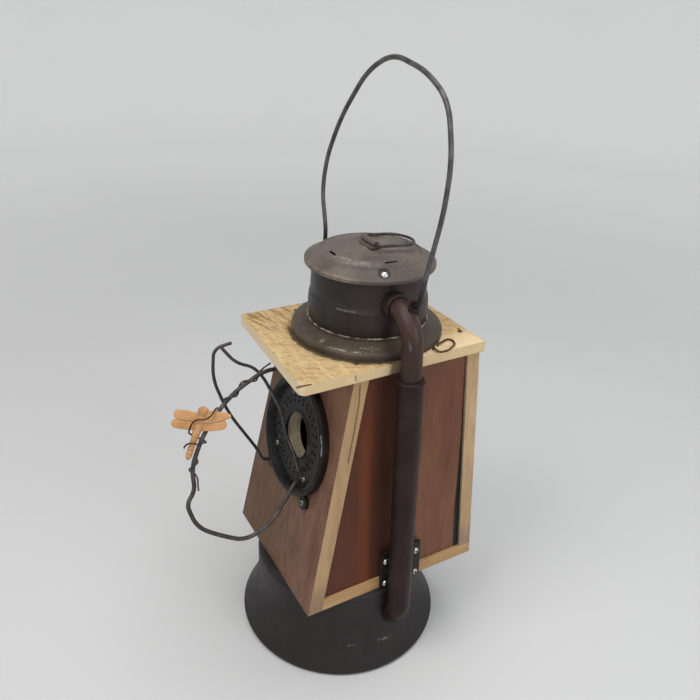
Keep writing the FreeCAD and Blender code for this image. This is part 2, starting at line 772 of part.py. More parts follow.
def build_lid():
    rim_top = "fit.lid_rim_z + dim.lid_lip"
    lid = turned("lid_sheet", [
        ("0", "fit.lid_top_z"),
        ("dim.lid_top_radius", "fit.lid_top_z"),
        ("fit.lid_bead_radius - dim.lid_bead", "fit.lid_bead_z"),
        ("fit.lid_bead_radius + dim.lid_bead", "fit.lid_bead_z - dim.lid_bead * fit.lid_band_slope"),
        ("dim.lid_radius", rim_top),
        ("dim.lid_radius", "fit.lid_rim_z"),
        ("dim.lid_radius - dim.tin_wall", "fit.lid_rim_z"),
        ("dim.lid_radius - dim.tin_wall", f"{rim_top} - dim.tin_wall"),
        ("fit.lid_bead_radius", "fit.lid_bead_z - 1.2 * dim.tin_wall"),
        ("dim.lid_top_radius", "fit.lid_top_z - dim.tin_wall"),
        ("0", "fit.lid_top_z - dim.tin_wall"),
    ], {2: ("dim.lid_bead * 1.15", 1)})
    stand(lid, y="dim.crown_setback")
    slots = []
    slot_circle = "(dim.lid_top_radius + fit.lid_bead_radius) / 2 + dim.lid_bead * 3"
    for count, turn in enumerate((-92, -4, 88, 176)):
        slot = primitive("Box", f"lid_slot_{count}", Length="dim.lid_slot_width", Width="dim.lid_slot_length",
                         Height="3 * dim.lid_top_rise")
        out, side = f"cos({turn} deg)", f"sin({turn} deg)"
        stand(slot, x=f"({slot_circle}) * {out} + dim.lid_slot_length / 2 * {side}",
              y=f"dim.crown_setback + ({slot_circle}) * {side} - dim.lid_slot_length / 2 * {out}",
              z="fit.lid_bead_z - dim.lid_top_rise", turn=f"{turn} deg")
        slots.append(slot)
    slotted = cut("lid_slotted", lid, group("lid_slots", slots))
    piece(cut("lid_drilled", slotted, doc.getObject("lid_screw_hole")), "lid")
    piece(placed_copy("lid_screw_solid", screw_solid("lid_screw_form"), lid_screw_place()), "lid_screw")


LID_SCREW_TURN = -18


def lid_screw_place():
    """On the lid's sloping band, square to it."""
    radius = number("dim.lid_radius - dim.lid_screw_inset")
    height = number("fit.lid_bead_z - (dim.lid_band_width - dim.lid_screw_inset) * fit.lid_band_slope")
    slope = math.degrees(math.atan(number("fit.lid_band_slope")))
    about = FreeCAD.Rotation(Z_AXIS, LID_SCREW_TURN)
    axis = V(0, number("dim.crown_setback"), 0)
    place = axis + about.multVec(V(radius, 0, height))
    return FreeCAD.Placement(place, about.multiply(FreeCAD.Rotation(Y_AXIS, slope)))


def lid_screw_hole():
    """The hole that the lid's screw needs in the lid and in the crown's upper edge."""
    return placed_copy("lid_screw_hole", screw_solid("lid_bore", hole=True), lid_screw_place())


def build_lift_ring():
    knuckle = primitive("Cylinder", "knuckle_roll", Radius="fit.knuckle_radius", Height="dim.knuckle_length")
    stand(knuckle, x="dim.ring_side - dim.knuckle_length / 2", y="fit.ring_axis_y", z="fit.ring_axis_z",
          axis="0; 1; 0", turn="90 deg")
    tab = primitive("Box", "knuckle_tab", Length="dim.knuckle_length", Width="dim.knuckle_tab",
                    Height="dim.knuckle_wall")
    stand(tab, x="dim.ring_side - dim.knuckle_length / 2", y="fit.ring_axis_y - dim.knuckle_tab / 2",
          z="fit.lid_top_z")
    bore = primitive("Cylinder", "knuckle_bore", Radius="fit.knuckle_bore", Height="2 * dim.knuckle_length")
    stand(bore, x="dim.ring_side - dim.knuckle_length", y="fit.ring_axis_y", z="fit.ring_axis_z",
          axis="0; 1; 0", turn="90 deg")
    piece(cut("knuckle", fuse("knuckle_blank", [knuckle, tab]), bore), "ring_knuckle")

    half = number("dim.ring_half_width")
    length = number("dim.ring_length")
    corner = number("dim.ring_corner")
    droop = FreeCAD.Rotation(X_AXIS, -number("dim.ring_droop"))
    origin = V(number("dim.ring_side"), number("fit.ring_axis_y"), number("fit.ring_axis_z"))

    def at(x, out):
        return origin + droop.multVec(V(x, out, 0))

    leg = half - corner
    inset = corner * (1 - math.sqrt(0.5))
    bow = length - half
    edges = [
        Part.LineSegment(at(-leg, 0), at(leg, 0)),
        Part.Arc(at(leg, 0), at(half - inset, inset), at(half, corner)),
        Part.LineSegment(at(half, corner), at(half, bow)),
        Part.Arc(at(half, bow), at(0, length), at(-half, bow)),
        Part.LineSegment(at(-half, bow), at(-half, corner)),
        Part.Arc(at(-half, corner), at(inset - half, inset), at(-leg, 0)),
    ]
    piece(swept("ring", Part.Wire([edge.toShape() for edge in edges]), "dim.ring_wire"), "lift_ring")


# Air tubes, elbows, collars


def tube_x(height):
    """The tube's axis at a height: it runs parallel to the house's side, clear of the roof's edge."""
    return number("fit.tube_roof_x") + (number("fit.roof_top") - height) * number("fit.side_slope")


def tube_point(height):
    return V(tube_x(height), number("dim.tube_setback"), height)


def tube_path(top):
    foot = number("dim.tube_foot_height")
    corner = tube_point(foot)
    inside = corner - V(1.4, 0, 1) * number("dim.tube_foot_bend")
    return bent_path([tube_point(top), corner, inside], number("dim.tube_foot_bend"))


def elbow_path():
    height = number("fit.elbow_z")
    corner = tube_point(height)
    end = number("fit.tube_top_z - dim.elbow_lap")
    inside = V(number("dim.crown_neck_radius") / 2, corner.y, height)
    return bent_path([inside, corner, tube_point(end)], number("dim.elbow_bend"))


def build_tubes(crown_form):
    top = number("fit.tube_top_z")
    outer = swept("tube_outer", tube_path(top), "fit.tube_top_radius", "dim.tube_foot_radius")
    bead = primitive("Torus", "tube_bead", Radius2="dim.tube_bead",
                     Radius1="fit.tube_top_radius + dim.tube_bead_reach - dim.tube_bead")
    stand(bead, x="fit.tube_roof_x + (fit.roof_top - fit.tube_top_z + dim.tube_bead) * fit.side_slope",
          y="dim.tube_setback", z="fit.tube_top_z - dim.tube_bead", axis="0; 1; 0", turn="-fit.side_lean")
    shoulder = number("2 * dim.tube_bead")
    inner = swept("tube_inner", tube_path(top - shoulder), "fit.tube_top_radius - dim.tube_wall",
                  "dim.tube_foot_radius - dim.tube_wall")
    socket = swept("tube_socket", elbow_path(), "dim.elbow_radius + dim.elbow_gap")
    hollow = cut("tube_hollow", fuse("tube_beaded", [outer, bead]), inner)
    tube = piece(cut("tube_trimmed", cut("tube_bored", hollow, socket), font_form()), "tube_right")
    mirrored(tube, "tube_left")

    elbow_outer = swept("elbow_outer", elbow_path(), "dim.elbow_radius")
    elbow_inner = swept("elbow_inner", elbow_path(), "dim.elbow_radius - dim.tube_wall")
    elbow_hollow = cut("elbow_hollow", elbow_outer, elbow_inner)
    elbow = piece(cut("elbow_trimmed", elbow_hollow, crown_form), "elbow_right")
    mirrored(elbow, "elbow_left")

    blank = primitive("Cylinder", "collar_blank", Radius="dim.elbow_radius + dim.collar_width",
                      Height="dim.crown_radius + dim.collar_reach - dim.crown_neck_radius / 2")
    bore = primitive("Cylinder", "collar_bore", Radius="dim.elbow_radius + dim.seam_gap",
                     Height="2 * dim.crown_radius")
    for tool in (blank, bore):
        stand(tool, x="dim.crown_neck_radius / 2", y="dim.tube_setback", z="fit.elbow_z", axis="0; 1; 0",
              turn="90 deg")
    rounded = doc.addObject("Part::Fillet", "collar_rounded")
    rounded.Base = blank
    doc.recompute()
    outer_edge = [index for index, edge in enumerate(blank.Shape.Edges, start=1)
                  if edge.Closed and edge.CenterOfMass.x > number("dim.crown_radius")]
    rounded.Edges = [(index, number("dim.collar_width / 2"), number("dim.collar_width / 2"))
                     for index in outer_edge]
    collar = piece(cut("collar_trimmed", cut("collar_ring", rounded, bore), crown_form), "collar_right")
    mirrored(collar, "collar_left")


# Bail and its ears


def bail_frame():
    """The bail's own plane: x across, y up the leaning bail, through its pivot."""
    return FreeCAD.Placement(V(0, number("dim.bail_setback"), number("fit.bail_pivot_z")),
                             FreeCAD.Rotation(X_AXIS, 90 - number("dim.bail_lean")))


def build_bail():
    foot = number("fit.bail_foot_half")
    wide = number("fit.bail_half_width")
    high = number("dim.bail_height")
    end = foot - number("dim.bail_end")
    outline = [
        (-end, 0), (-foot, 0), (-1.016 * foot, 0.1 * high), (-wide, 0.283 * high),
        (-0.96 * wide, 0.467 * high), (-0.75 * wide, 0.69 * high), (-0.37 * wide, 0.923 * high),
        (0, 1.016 * high), (0.5 * wide, 0.974 * high),
        (0.832 * wide, 0.884 * high), (0.98 * wide, 0.671 * high), (0.985 * wide, 0.458 * high),
        (1.032 * foot, 0.1 * high), (foot, 0), (end, 0),
    ]
    frame = bail_frame()
    path = bent_path([frame.multVec(V(x, y, 0)) for x, y in outline])
    piece(swept("bail_bar", path, "dim.bail_wire"), "bail")

    clear = swept("ear_seat", elbow_path(), "dim.elbow_radius + dim.seam_gap")
    blade = primitive("Box", "ear_blade", Length="dim.ear_thickness", Width="2 * dim.ear_radius",
                      Height="2 * dim.elbow_radius")
    stand(blade, x="fit.ear_half", y="dim.bail_setback - dim.ear_radius",
          z="fit.bail_pivot_z - 2 * dim.elbow_radius")
    eye = primitive("Cylinder", "ear_eye", Radius="dim.ear_radius", Height="dim.ear_thickness")
    hole = primitive("Cylinder", "ear_hole", Radius="dim.bail_wire + dim.pin_gap",
                     Height="dim.ear_thickness * 3")
    stand(eye, x="fit.ear_half", y="dim.bail_setback", z="fit.bail_pivot_z", axis="0; 1; 0", turn="90 deg")
    stand(hole, x="fit.ear_half - dim.ear_thickness", y="dim.bail_setback", z="fit.bail_pivot_z",
          axis="0; 1; 0", turn="90 deg")
    ear = cut("ear_pierced", fuse("ear_blank", [blade, eye]), hole)
    right = piece(cut("ear_trimmed", ear, clear), "bail_ear_right")
    mirrored(right, "bail_ear_left")


# Guard wires, perch wire, bindings, dragonfly and tie wire


UPPER_TAIL = (-1.8, 59.6, 33.0)
LOWER_TAIL = (26.6, -19.1, 84.1)


def build_front_wires():
    grid = number("dim.wire_grid")
    foot = number("dim.plate_thickness") / grid
    lug = lug_place(-1) * (1 / grid)
    lug_top = number("dim.lug_height") / grid
    left = [(lug.x - 3.6, lug.y - 0.6, lug_top), (lug.x - 3.6, lug.y - 0.6, lug_top + 5), (-34.2, -31, 14.5),
            (-32.7, 4.4, 44.5), (-31.3, 34, 61), (-30.2, 58, 64), (-29.8, 62.5, 51.5)]
    right = [(-27.1, 59.8, 59.3), (-23.8, 49.8, 49), (-22.2, 46.5, 35), (-17.5, 39.5, 27.5), (-3.6, 17.5, 15),
             (-2.2, -1.3, 9), (10.5, -10.5, 6.2), (18.2, -19.4, 5), (18.2, -19.4, foot)]
    perch = [(-5.2, 36, foot), (-5.2, 36, 6.5), (-4.8, 54, 18), (-3.5, 53, 36), (1.5, 38, 61), (10, 15, 79.5),
             (17.5, -6, 87.5), (22.5, -21.5, 85), (26.2, -29.5, 91), (31, -46, 83), (34.5, -53.5, 66),
             (36.3, -60, 47), (33, -49.5, 27), (17.5, -29.6, 5), (17.5, -29.6, foot)]
    for points, name, wire, label in ((left, "guard_one", "dim.guard_wire", "guard_wire_left"),
                                      (right, "guard_two", "dim.guard_wire", "guard_wire_right"),
                                      (perch, "perch", "dim.perch_wire", "perch_wire")):
        path = bent_path([on_plate(*point) for point in points])
        piece(swept(name, path, wire), label)
    bind_wire("upper", path, 2, -1, UPPER_TAIL)
    bind_wire("lower", path, 1, 1, LOWER_TAIL)


def along_path(path, distance):
    """The point and the direction at a distance from a path's start."""
    for edge in path.OrderedEdges:
        if distance <= edge.Length:
            at = edge.getParameterByLength(distance)
            return edge.valueAt(at), edge.tangentAt(at)
        distance -= edge.Length


def bind_wire(name, path, turns, sense, tail):
    """Thin wire wound along the perch wire, away from its upper foot (1) or back to it (-1), with a tail."""
    end = number(f"dim.{name}_binding_end")
    pitch = number(f"dim.{name}_binding_pitch")
    towards = on_plate(*tail) - along_path(path, end)[0]

    def axis_at(height):
        point, way = along_path(path, end + sense * (height - turns * pitch))
        return FreeCAD.Placement(point, FreeCAD.Rotation(V(), towards, way * sense, "ZYX"))

    radius = number("dim.perch_wire + dim.binding_wire + dim.binding_gap")
    stations = [(count / 4 - turns, count / 4 * pitch) for count in range(4 * turns + 1)]
    wound = winding(f"{name}_winding", axis_at, radius, stations, "dim.binding_wire", on_plate(*tail))
    piece(wound, f"binding_{name}")


DRAGONFLY_PLACE = (6.1, 23.0, 81.3)
WINGS = ((0.005, 25), (-0.086, 20), (0.053, 189), (-0.08, 194))


def dragonfly_frame():
    """x along the right wings, y towards the head, z out of its back."""
    turn = FreeCAD.Rotation(Z_AXIS, number("dim.dragonfly_azimuth"))
    tilt = FreeCAD.Rotation(X_AXIS, 90 - number("dim.dragonfly_tilt"))
    roll = FreeCAD.Rotation(Z_AXIS, number("dim.dragonfly_roll"))
    return FreeCAD.Placement(on_plate(*DRAGONFLY_PLACE), turn.multiply(tilt).multiply(roll))


def wing_blade():
    """One flat wing along +X from its root, wider towards its round tip."""
    body = doc.addObject("PartDesign::Body", "wing_blade")
    sketch = new_sketch(body, "XY_Plane", "wing_outline")
    draw_outline(sketch, [
        ("0", "-0.25 * dim.wing_width"),
        ("dim.wing_length - dim.wing_width / 2", "-dim.wing_width / 2"),
        ("dim.wing_length - dim.wing_width / 2", "dim.wing_width / 2"),
        ("0", "0.25 * dim.wing_width"),
    ], {1: ("0.56 * dim.wing_width", -1)})
    pad = body.newObject("PartDesign::Pad", "wing_pad")
    pad.Profile = sketch
    bind(pad, Length="dim.wing_thickness")
    doc.recompute()
    return body


def build_dragonfly():
    frame = dragonfly_frame()
    length = number("dim.body_length")

    def along(height):
        """A place on the body's axis, with +Z towards the head."""
        return frame.multiply(FreeCAD.Placement(V(0, height * length, 0), FreeCAD.Rotation(X_AXIS, -90)))

    head = primitive("Sphere", "dragonfly_head", Radius="dim.body_width / 2")
    head.Placement = along(0.2)
    thorax = primitive("Cylinder", "dragonfly_thorax", Radius="0.48 * dim.body_width",
                       Height="0.28 * dim.body_length")
    thorax.Placement = along(-0.22)
    neck = primitive("Cone", "dragonfly_neck", Radius1="0.48 * dim.body_width",
                     Radius2="0.3 * dim.body_width", Height="0.08 * dim.body_length")
    neck.Placement = along(0.06)
    tail = primitive("Cone", "dragonfly_tail", Radius1="0.3 * dim.body_width",
                     Radius2="0.48 * dim.body_width", Height="0.48 * dim.body_length")
    tail.Placement = along(-0.7)
    tip = primitive("Sphere", "dragonfly_tip", Radius="0.3 * dim.body_width")
    tip.Placement = along(-0.7)
    parts = [head, neck, thorax, tail, tip]
    blade = wing_blade()
    thickness = number("dim.wing_thickness")
    for count, (root, heading) in enumerate(WINGS):
        at = V(0, root * length, thickness * (0.1 * count - 0.65))
        place = frame.multiply(FreeCAD.Placement(at, FreeCAD.Rotation(Z_AXIS, heading)))
        parts.append(placed_copy(f"wing_{count}", blade, place))
    piece(fuse("dragonfly_form", parts), "dragonfly")

    radius = number("dim.dragonfly_tie_radius")
    middle = FreeCAD.Placement(V(0.26 * radius, 0, -0.16 * radius), FreeCAD.Rotation(X_AXIS, 90))
    axis = frame.multiply(middle)

    def axis_at(height):
        return axis.multiply(FreeCAD.Placement(V(0, 0, height * radius), FreeCAD.Rotation()))

    stations = [(0, -1.77), (0.25, -0.08), (0.5, 1.69), (0.75, 1.9), (1, 2.1), (1.25, 2.58), (1.5, 3.31)]
    piece(winding("dragonfly_winding", axis_at, radius, stations, "dim.binding_wire"), "dragonfly_tie")


TIE_ANGLE = 27


def build_tie_wire():
    """A loose loop of wire that lies on the roof, with both its ends on the roof by the crown's flange."""
    turn = math.radians(TIE_ANGLE)
    out = V(math.cos(turn), math.sin(turn), 0)
    beside = V(-out.y, out.x, 0)
    flange = V(0, number("dim.crown_setback"), number("fit.roof_top")) + out * number("dim.flange_radius")
    loop = number("dim.tie_loop")
    lying = number("dim.tie_wire") / loop + 0.005
    points = [(0.08, 0.2, 0), (0.08, 0.2, 0.12), (0.09, 0.45, lying), (0.13, 0.95, lying),
              (0.52, 0.74, lying), (0.56, 0.05, lying), (0.36, -0.26, lying), (0.08, -0.14, 0.12),
              (0.08, -0.14, 0)]
    places = [flange + (out * away + beside * along + Z_AXIS * rise) * loop for away, along, rise in points]
    piece(swept("tie", bent_path(places), "dim.tie_wire"), "tie_wire")


# Brackets that hold the tubes' feet to the house


def bracket_frame():
    """The bracket's frame on the house's right side: x out of the side, z up it."""
    foot = V(number("fit.bracket_foot_half"), number("dim.bracket_setback"), number("fit.bracket_foot_z"))
    return FreeCAD.Placement(foot, FreeCAD.Rotation(Y_AXIS, -number("fit.side_lean")))


def bracket_screw_places():
    for side in (1, -1):
        for height in ("dim.bracket_screw_low", "dim.bracket_screw_high"):
            at = V(number("dim.bracket_thickness"), side * number("dim.bracket_screw_half"), number(height))
            yield bracket_frame().multiply(FreeCAD.Placement(at, FreeCAD.Rotation(Y_AXIS, 90)))


def build_bracket_holes():
    hole = screw_solid("bracket_hole", hole=True)
    holes = [placed_copy(f"bracket_hole_{count}", hole, place)
             for count, place in enumerate(bracket_screw_places())]
    both = list(holes)
    for count, right in enumerate(holes):
        twin = doc.addObject("Part::Mirroring", f"bracket_hole_left_{count}")
        twin.Source = right
        twin.Normal = X_AXIS
        both.append(twin)
    return group("bracket_holes", both)


def build_brackets(screw_holes):
    frame = bracket_frame()
    half = number("dim.bracket_width") / 2
    tube_y = number("dim.tube_setback - dim.bracket_setback")
    offset = number("fit.tube_offset")

    def local(x, y, z):
        return frame.multiply(FreeCAD.Placement(V(x, y, z), FreeCAD.Rotation()))

    plate = primitive("Box", "bracket_plate", Length="dim.bracket_thickness", Width="dim.bracket_width",
                      Height="dim.bracket_height")
    plate.Placement = local(0, -half, 0)
    cradle = primitive("Box", "bracket_cradle", Length="fit.tube_offset", Width="dim.cradle_width",
                       Height="dim.bracket_height")
    cradle.Placement = local(0, tube_y - number("dim.cradle_width") / 2, 0)
    channel = primitive("Cylinder", "tube_clear", Radius="fit.tube_top_radius + dim.cradle_gap - 0.5",
                        Height="2 * dim.bracket_height")
    channel.Placement = local(offset, tube_y, -number("dim.bracket_height") / 2)
    blank = cut("bracket_seated", fuse("bracket_blank", [plate, cradle]), channel)
    bracket = piece(cut("bracket_drilled", blank, screw_holes), "bracket_right")
    mirrored(bracket, "bracket_left")

    screw = screw_solid("bracket_screw")
    screws = [placed_copy(f"bracket_screw_{count}", screw, place)
              for count, place in enumerate(bracket_screw_places())]
    right = piece(group("bracket_screw_group", screws), "bracket_screws_right")
    mirrored(right, "bracket_screws_left")


def write_pieces():
    """Checks every object and every piece, then writes one file for each piece."""
    doc.recompute()
    for obj in doc.Objects:
        if "Invalid" in obj.State or "Error" in obj.State:
            raise RuntimeError(f"{obj.Name} could not be built")
    for obj in pieces:
        if obj.Shape.isNull() or not obj.Shape.isValid() or not obj.Shape.Solids:
            raise RuntimeError(f"{obj.Label} is not a valid solid")
    os.makedirs("parts", exist_ok=True)
    for obj in pieces:
        obj.Shape.exportStep(os.path.join("parts", f"{obj.Label}.step"))
    print(f"{len(pieces)} pieces written")


build_font()
nail_cutters = build_nails()
bracket_cutters = build_bracket_holes()
build_roof(nail_cutters)
build_house(nail_cutters, bracket_cutters)
build_plate()
build_crown()
crown_filled = turned("crown_form", [("0", "fit.roof_top")] + crown_outline("dim.seam_gap")
                      + [("0", "fit.crown_top")], {2: ("dim.crown_bulge", -1)})
stand(crown_filled, y="dim.crown_setback")
build_lid()
build_lift_ring()
build_tubes(crown_filled)
build_bail()
build_front_wires()
build_dragonfly()
build_tie_wire()
build_brackets(bracket_cutters)
write_pieces()
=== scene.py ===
"""Looks of the birdhouse lantern: an old tubular lantern with a slant-fronted wooden house for a globe.

Every length is in metres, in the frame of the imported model: the origin is the middle of the foot on the
floor, -Y is the front and +Z is up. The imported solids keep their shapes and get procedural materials. Two
things are built here: a carved dragonfly, which stands for its solid, and the cross cuts in the heads of
the screws. Points of strokes and spots in the materials are in millimetres, in the same frame.
"""
import math

import bpy
from mathutils import Matrix, Vector


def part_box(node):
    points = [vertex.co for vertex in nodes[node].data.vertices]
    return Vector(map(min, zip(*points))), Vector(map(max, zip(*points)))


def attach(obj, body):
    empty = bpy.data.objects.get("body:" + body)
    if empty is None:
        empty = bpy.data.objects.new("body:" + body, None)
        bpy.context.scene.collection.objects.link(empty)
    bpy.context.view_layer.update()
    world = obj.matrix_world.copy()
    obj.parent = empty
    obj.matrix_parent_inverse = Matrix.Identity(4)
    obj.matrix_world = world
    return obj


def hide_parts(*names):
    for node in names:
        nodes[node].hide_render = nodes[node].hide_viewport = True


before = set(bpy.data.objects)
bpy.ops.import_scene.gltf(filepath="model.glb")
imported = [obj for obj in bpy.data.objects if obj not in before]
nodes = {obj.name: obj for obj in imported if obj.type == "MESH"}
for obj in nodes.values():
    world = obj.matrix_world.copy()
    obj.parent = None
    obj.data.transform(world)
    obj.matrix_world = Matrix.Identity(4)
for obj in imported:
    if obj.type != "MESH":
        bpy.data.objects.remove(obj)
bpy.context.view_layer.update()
MM = 0.001

# Places of the solids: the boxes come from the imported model, the plain figures from the part's source

ROOF_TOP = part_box("roof_board")[1].z
ROOF_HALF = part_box("roof_board")[1].x
HOUSE_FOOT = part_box("floor_board")[0].z
HOUSE_FOOT_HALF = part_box("floor_board")[1].x
HOUSE_RISE = 186.3  # in millimetres, as are the three leans over this height
SIDE_SLOPE = 10.3 / HOUSE_RISE
FRONT_SLOPE = 36.3 / HOUSE_RISE
BACK_SLOPE = 9.9 / HOUSE_RISE
BACK_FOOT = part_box("back_board")[1].y
BACK_BOARD = 10.6 * MM
CROWN_AXIS = Vector((0, 14 * MM, 0))
FLANGE_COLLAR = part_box("crown_flange")[1].z
PLATE_LEAN = math.atan(FRONT_SLOPE)
PLATE_MIDDLE = (0, -40.17 * MM, 186.13 * MM)
PLATE = Matrix.Translation(PLATE_MIDDLE) @ Matrix.Rotation(math.pi / 2 - PLATE_LEAN, 4, "X")
PLATE_RADIUS = 45.5 * MM
ENTRANCE_RADIUS = 18.5 * MM
SCREW_HEAD_RADIUS = 2.8 * MM
SCREW_HEAD = 2.0 * MM


# Shader node helpers


class Shader:
    """A material whose nodes are added one by one, from left to right."""

    def __init__(self, name):
        self.material = bpy.data.materials.new(name)
        self.material.use_nodes = True
        self.tree = self.material.node_tree
        self.surface = self.tree.nodes["Principled BSDF"]
        self.place = self.add("ShaderNodeTexCoord").outputs["Object"]

    def add(self, kind, **settings):
        """A new node of a kind, with its settings."""
        node = self.tree.nodes.new(kind)
        for key, value in settings.items():
            setattr(node, key, value)
        return node

    def feed(self, socket, value):
        """Links an output to a socket, or sets the socket's own value."""
        if isinstance(value, bpy.types.NodeSocket):
            self.tree.links.new(value, socket)
        elif isinstance(value, (tuple, list)) and socket.type == "RGBA":
            socket.default_value = tuple(value) + (1,)
        else:
            socket.default_value = value

    def stretched(self, scale, turn=(0, 0, 0)):
        """Object coordinates whose features are drawn out by a scale along each axis, after a turn."""
        node = self.add("ShaderNodeMapping", vector_type="TEXTURE")
        self.feed(node.inputs["Vector"], self.place)
        node.inputs["Rotation"].default_value = [math.radians(angle) for angle in turn]
        node.inputs["Scale"].default_value = scale
        return node.outputs["Vector"]

    def noise(self, size, vector=None, detail=4.0, rough=0.55, twist=0.0):
        """Smooth noise whose features are about size metres across."""
        node = self.add("ShaderNodeTexNoise")
        self.feed(node.inputs["Vector"], vector or self.place)
        node.inputs["Scale"].default_value = 1.0 / size
        node.inputs["Detail"].default_value = detail
        node.inputs["Roughness"].default_value = rough
        node.inputs["Distortion"].default_value = twist
        return node.outputs["Fac"]

    def cells(self, size, vector=None):
        """Distance to the nearest of many scattered points about size metres apart, in sizes."""
        node = self.add("ShaderNodeTexVoronoi")
        self.feed(node.inputs["Vector"], vector or self.place)
        node.inputs["Scale"].default_value = 1.0 / size
        return node.outputs["Distance"]

    def ramp(self, value, *stops):
        """Colours by value: each stop is a position and a colour or a grey."""
        node = self.add("ShaderNodeValToRGB")
        self.feed(node.inputs["Fac"], value)
        elements = node.color_ramp.elements
        while len(elements) < len(stops):
            elements.new(0.5)
        for element, (position, colour) in zip(elements, stops):
            element.position = position
            grey = isinstance(colour, (int, float))
            element.color = (colour,) * 3 + (1,) if grey else tuple(colour) + (1,)
        return node.outputs["Color"]

    def mix(self, amount, first, second):
        """The first colour where the amount is 0, the second where it is 1."""
        node = self.add("ShaderNodeMix", data_type="RGBA")
        self.feed(node.inputs[0], amount)
        self.feed(node.inputs[6], first)
        self.feed(node.inputs[7], second)
        return node.outputs[2]

    def math(self, kind, first, second=0.0, clamp=False):
        """An operation on one or two numbers."""
        node = self.add("ShaderNodeMath", operation=kind, use_clamp=clamp)
        self.feed(node.inputs[0], first)
        self.feed(node.inputs[1], second)
        return node.outputs[0]

    def vector(self, kind, first, second=(0, 0, 0), output="Vector"):
        """An operation on one or two vectors."""
        node = self.add("ShaderNodeVectorMath", operation=kind)
        self.feed(node.inputs[0], first)
        self.feed(node.inputs[1], second)
        return node.outputs[output]

    def axis(self, letter, vector=None):
        """One coordinate of a point."""
        node = self.add("ShaderNodeSeparateXYZ")
        self.feed(node.inputs[0], vector or self.place)
        return node.outputs[letter]

    def facing(self, letter):
        """How far a face turns along one axis of the frame."""
        return self.axis(letter, self.add("ShaderNodeNewGeometry").outputs["True Normal"])

    def step(self, value, start, end):
        """A smooth step from 0 at start to 1 at end."""
        node = self.add("ShaderNodeMapRange", interpolation_type="SMOOTHSTEP")
        self.feed(node.inputs["Value"], value)
        node.inputs["From Min"].default_value = start
        node.inputs["From Max"].default_value = end
        return node.outputs["Result"]

    def within(self, value, low, high, soft):
        """1 between two values, falling to 0 over a soft edge."""
        return self.math("MULTIPLY", self.step(value, low - soft, low), self.step(value, high + soft, high))

    def wobbly(self, value, size, amount):
        """A length with noise added to it, so that an edge drawn from it wanders."""
        drift = self.math("MULTIPLY", self.math("SUBTRACT", self.noise(size, detail=3), 0.5), 2 * amount)
        return self.math("ADD", value, drift)

    def stroke(self, start, end, width, ragged=0.0):
        """1 along a straight stroke from one point to another, 0 away from it."""
        run = Vector(end) - Vector(start)
        offset = self.vector("SUBTRACT", self.place, tuple(start))
        share = self.vector("DOT_PRODUCT", offset, tuple(run / run.length_squared), "Value")
        share = self.math("MULTIPLY", share, 1.0, clamp=True)
        foot = self.add("ShaderNodeVectorMath", operation="SCALE")
        foot.inputs[0].default_value = tuple(run)
        self.feed(foot.inputs["Scale"], share)
        away = self.vector("LENGTH", self.vector("SUBTRACT", offset, foot.outputs["Vector"]), output="Value")
        if ragged:
            away = self.wobbly(away, 2.5 * width, ragged)
        return self.step(away, width, 0.35 * width)

    def strokes(self, points, width, ragged=0.0):
        """Strokes joined end to end through a list of points in millimetres."""
        places = [Vector(point) * MM for point in points]
        return self.strongest(*[self.stroke(a, b, width, ragged) for a, b in zip(places, places[1:])])

    def near(self, point, inner, outer):
        """1 within an inner distance of a point in millimetres, falling to 0 at an outer one."""
        away = self.vector("DISTANCE", self.place, tuple(Vector(point) * MM), "Value")
        return self.step(away, outer * MM, inner * MM)

    def from_crown(self):
        """The distance from the crown's upright axis."""
        flat = self.vector("MULTIPLY", self.vector("SUBTRACT", self.place, tuple(CROWN_AXIS)), (1, 1, 0))
        return self.vector("LENGTH", flat, output="Value")

    def times(self, *factors):
        """The product of masks and numbers."""
        total = factors[0]
        for factor in factors[1:]:
            total = self.math("MULTIPLY", total, factor)
        return total

    def strongest(self, *masks):
        """The greatest of some masks at each point."""
        total = masks[0]
        for mask in masks[1:]:
            total = self.math("MAXIMUM", total, mask)
        return total

    def edges(self, radius):
        """A mask along sharp edges, and a normal that rounds them off by a radius."""
        bevel = self.add("ShaderNodeBevel", samples=4)
        bevel.inputs["Radius"].default_value = radius
        flat = self.add("ShaderNodeNewGeometry").outputs["Normal"]
        along = self.vector("DOT_PRODUCT", bevel.outputs["Normal"], flat, "Value")
        return self.step(along, 0.97, 0.78), bevel.outputs["Normal"]

    def bump(self, height, distance, strength=1.0, below=None):
        """A normal tilted by a height, on top of another normal if there is one below."""
        node = self.add("ShaderNodeBump")
        self.feed(node.inputs["Height"], height)
        node.inputs["Distance"].default_value = distance
        node.inputs["Strength"].default_value = strength
        if below:
            self.feed(node.inputs["Normal"], below)
        return node.outputs["Normal"]

    def finish(self, colour, roughness, normal=None, metallic=0.0, specular=0.3, glow=None):
        """Feeds the surface and gives the finished material."""
        sockets = self.surface.inputs
        self.feed(sockets["Base Color"], colour)
        self.feed(sockets["Roughness"], roughness)
        self.feed(sockets["Metallic"], metallic)
        sockets["Specular IOR Level"].default_value = specular
        if normal:
            self.feed(sockets["Normal"], normal)
        if glow:
            sockets["Emission Color"].default_value = (1, 1, 1, 1)
            self.feed(sockets["Emission Strength"], glow)
        return self.material


# Metal


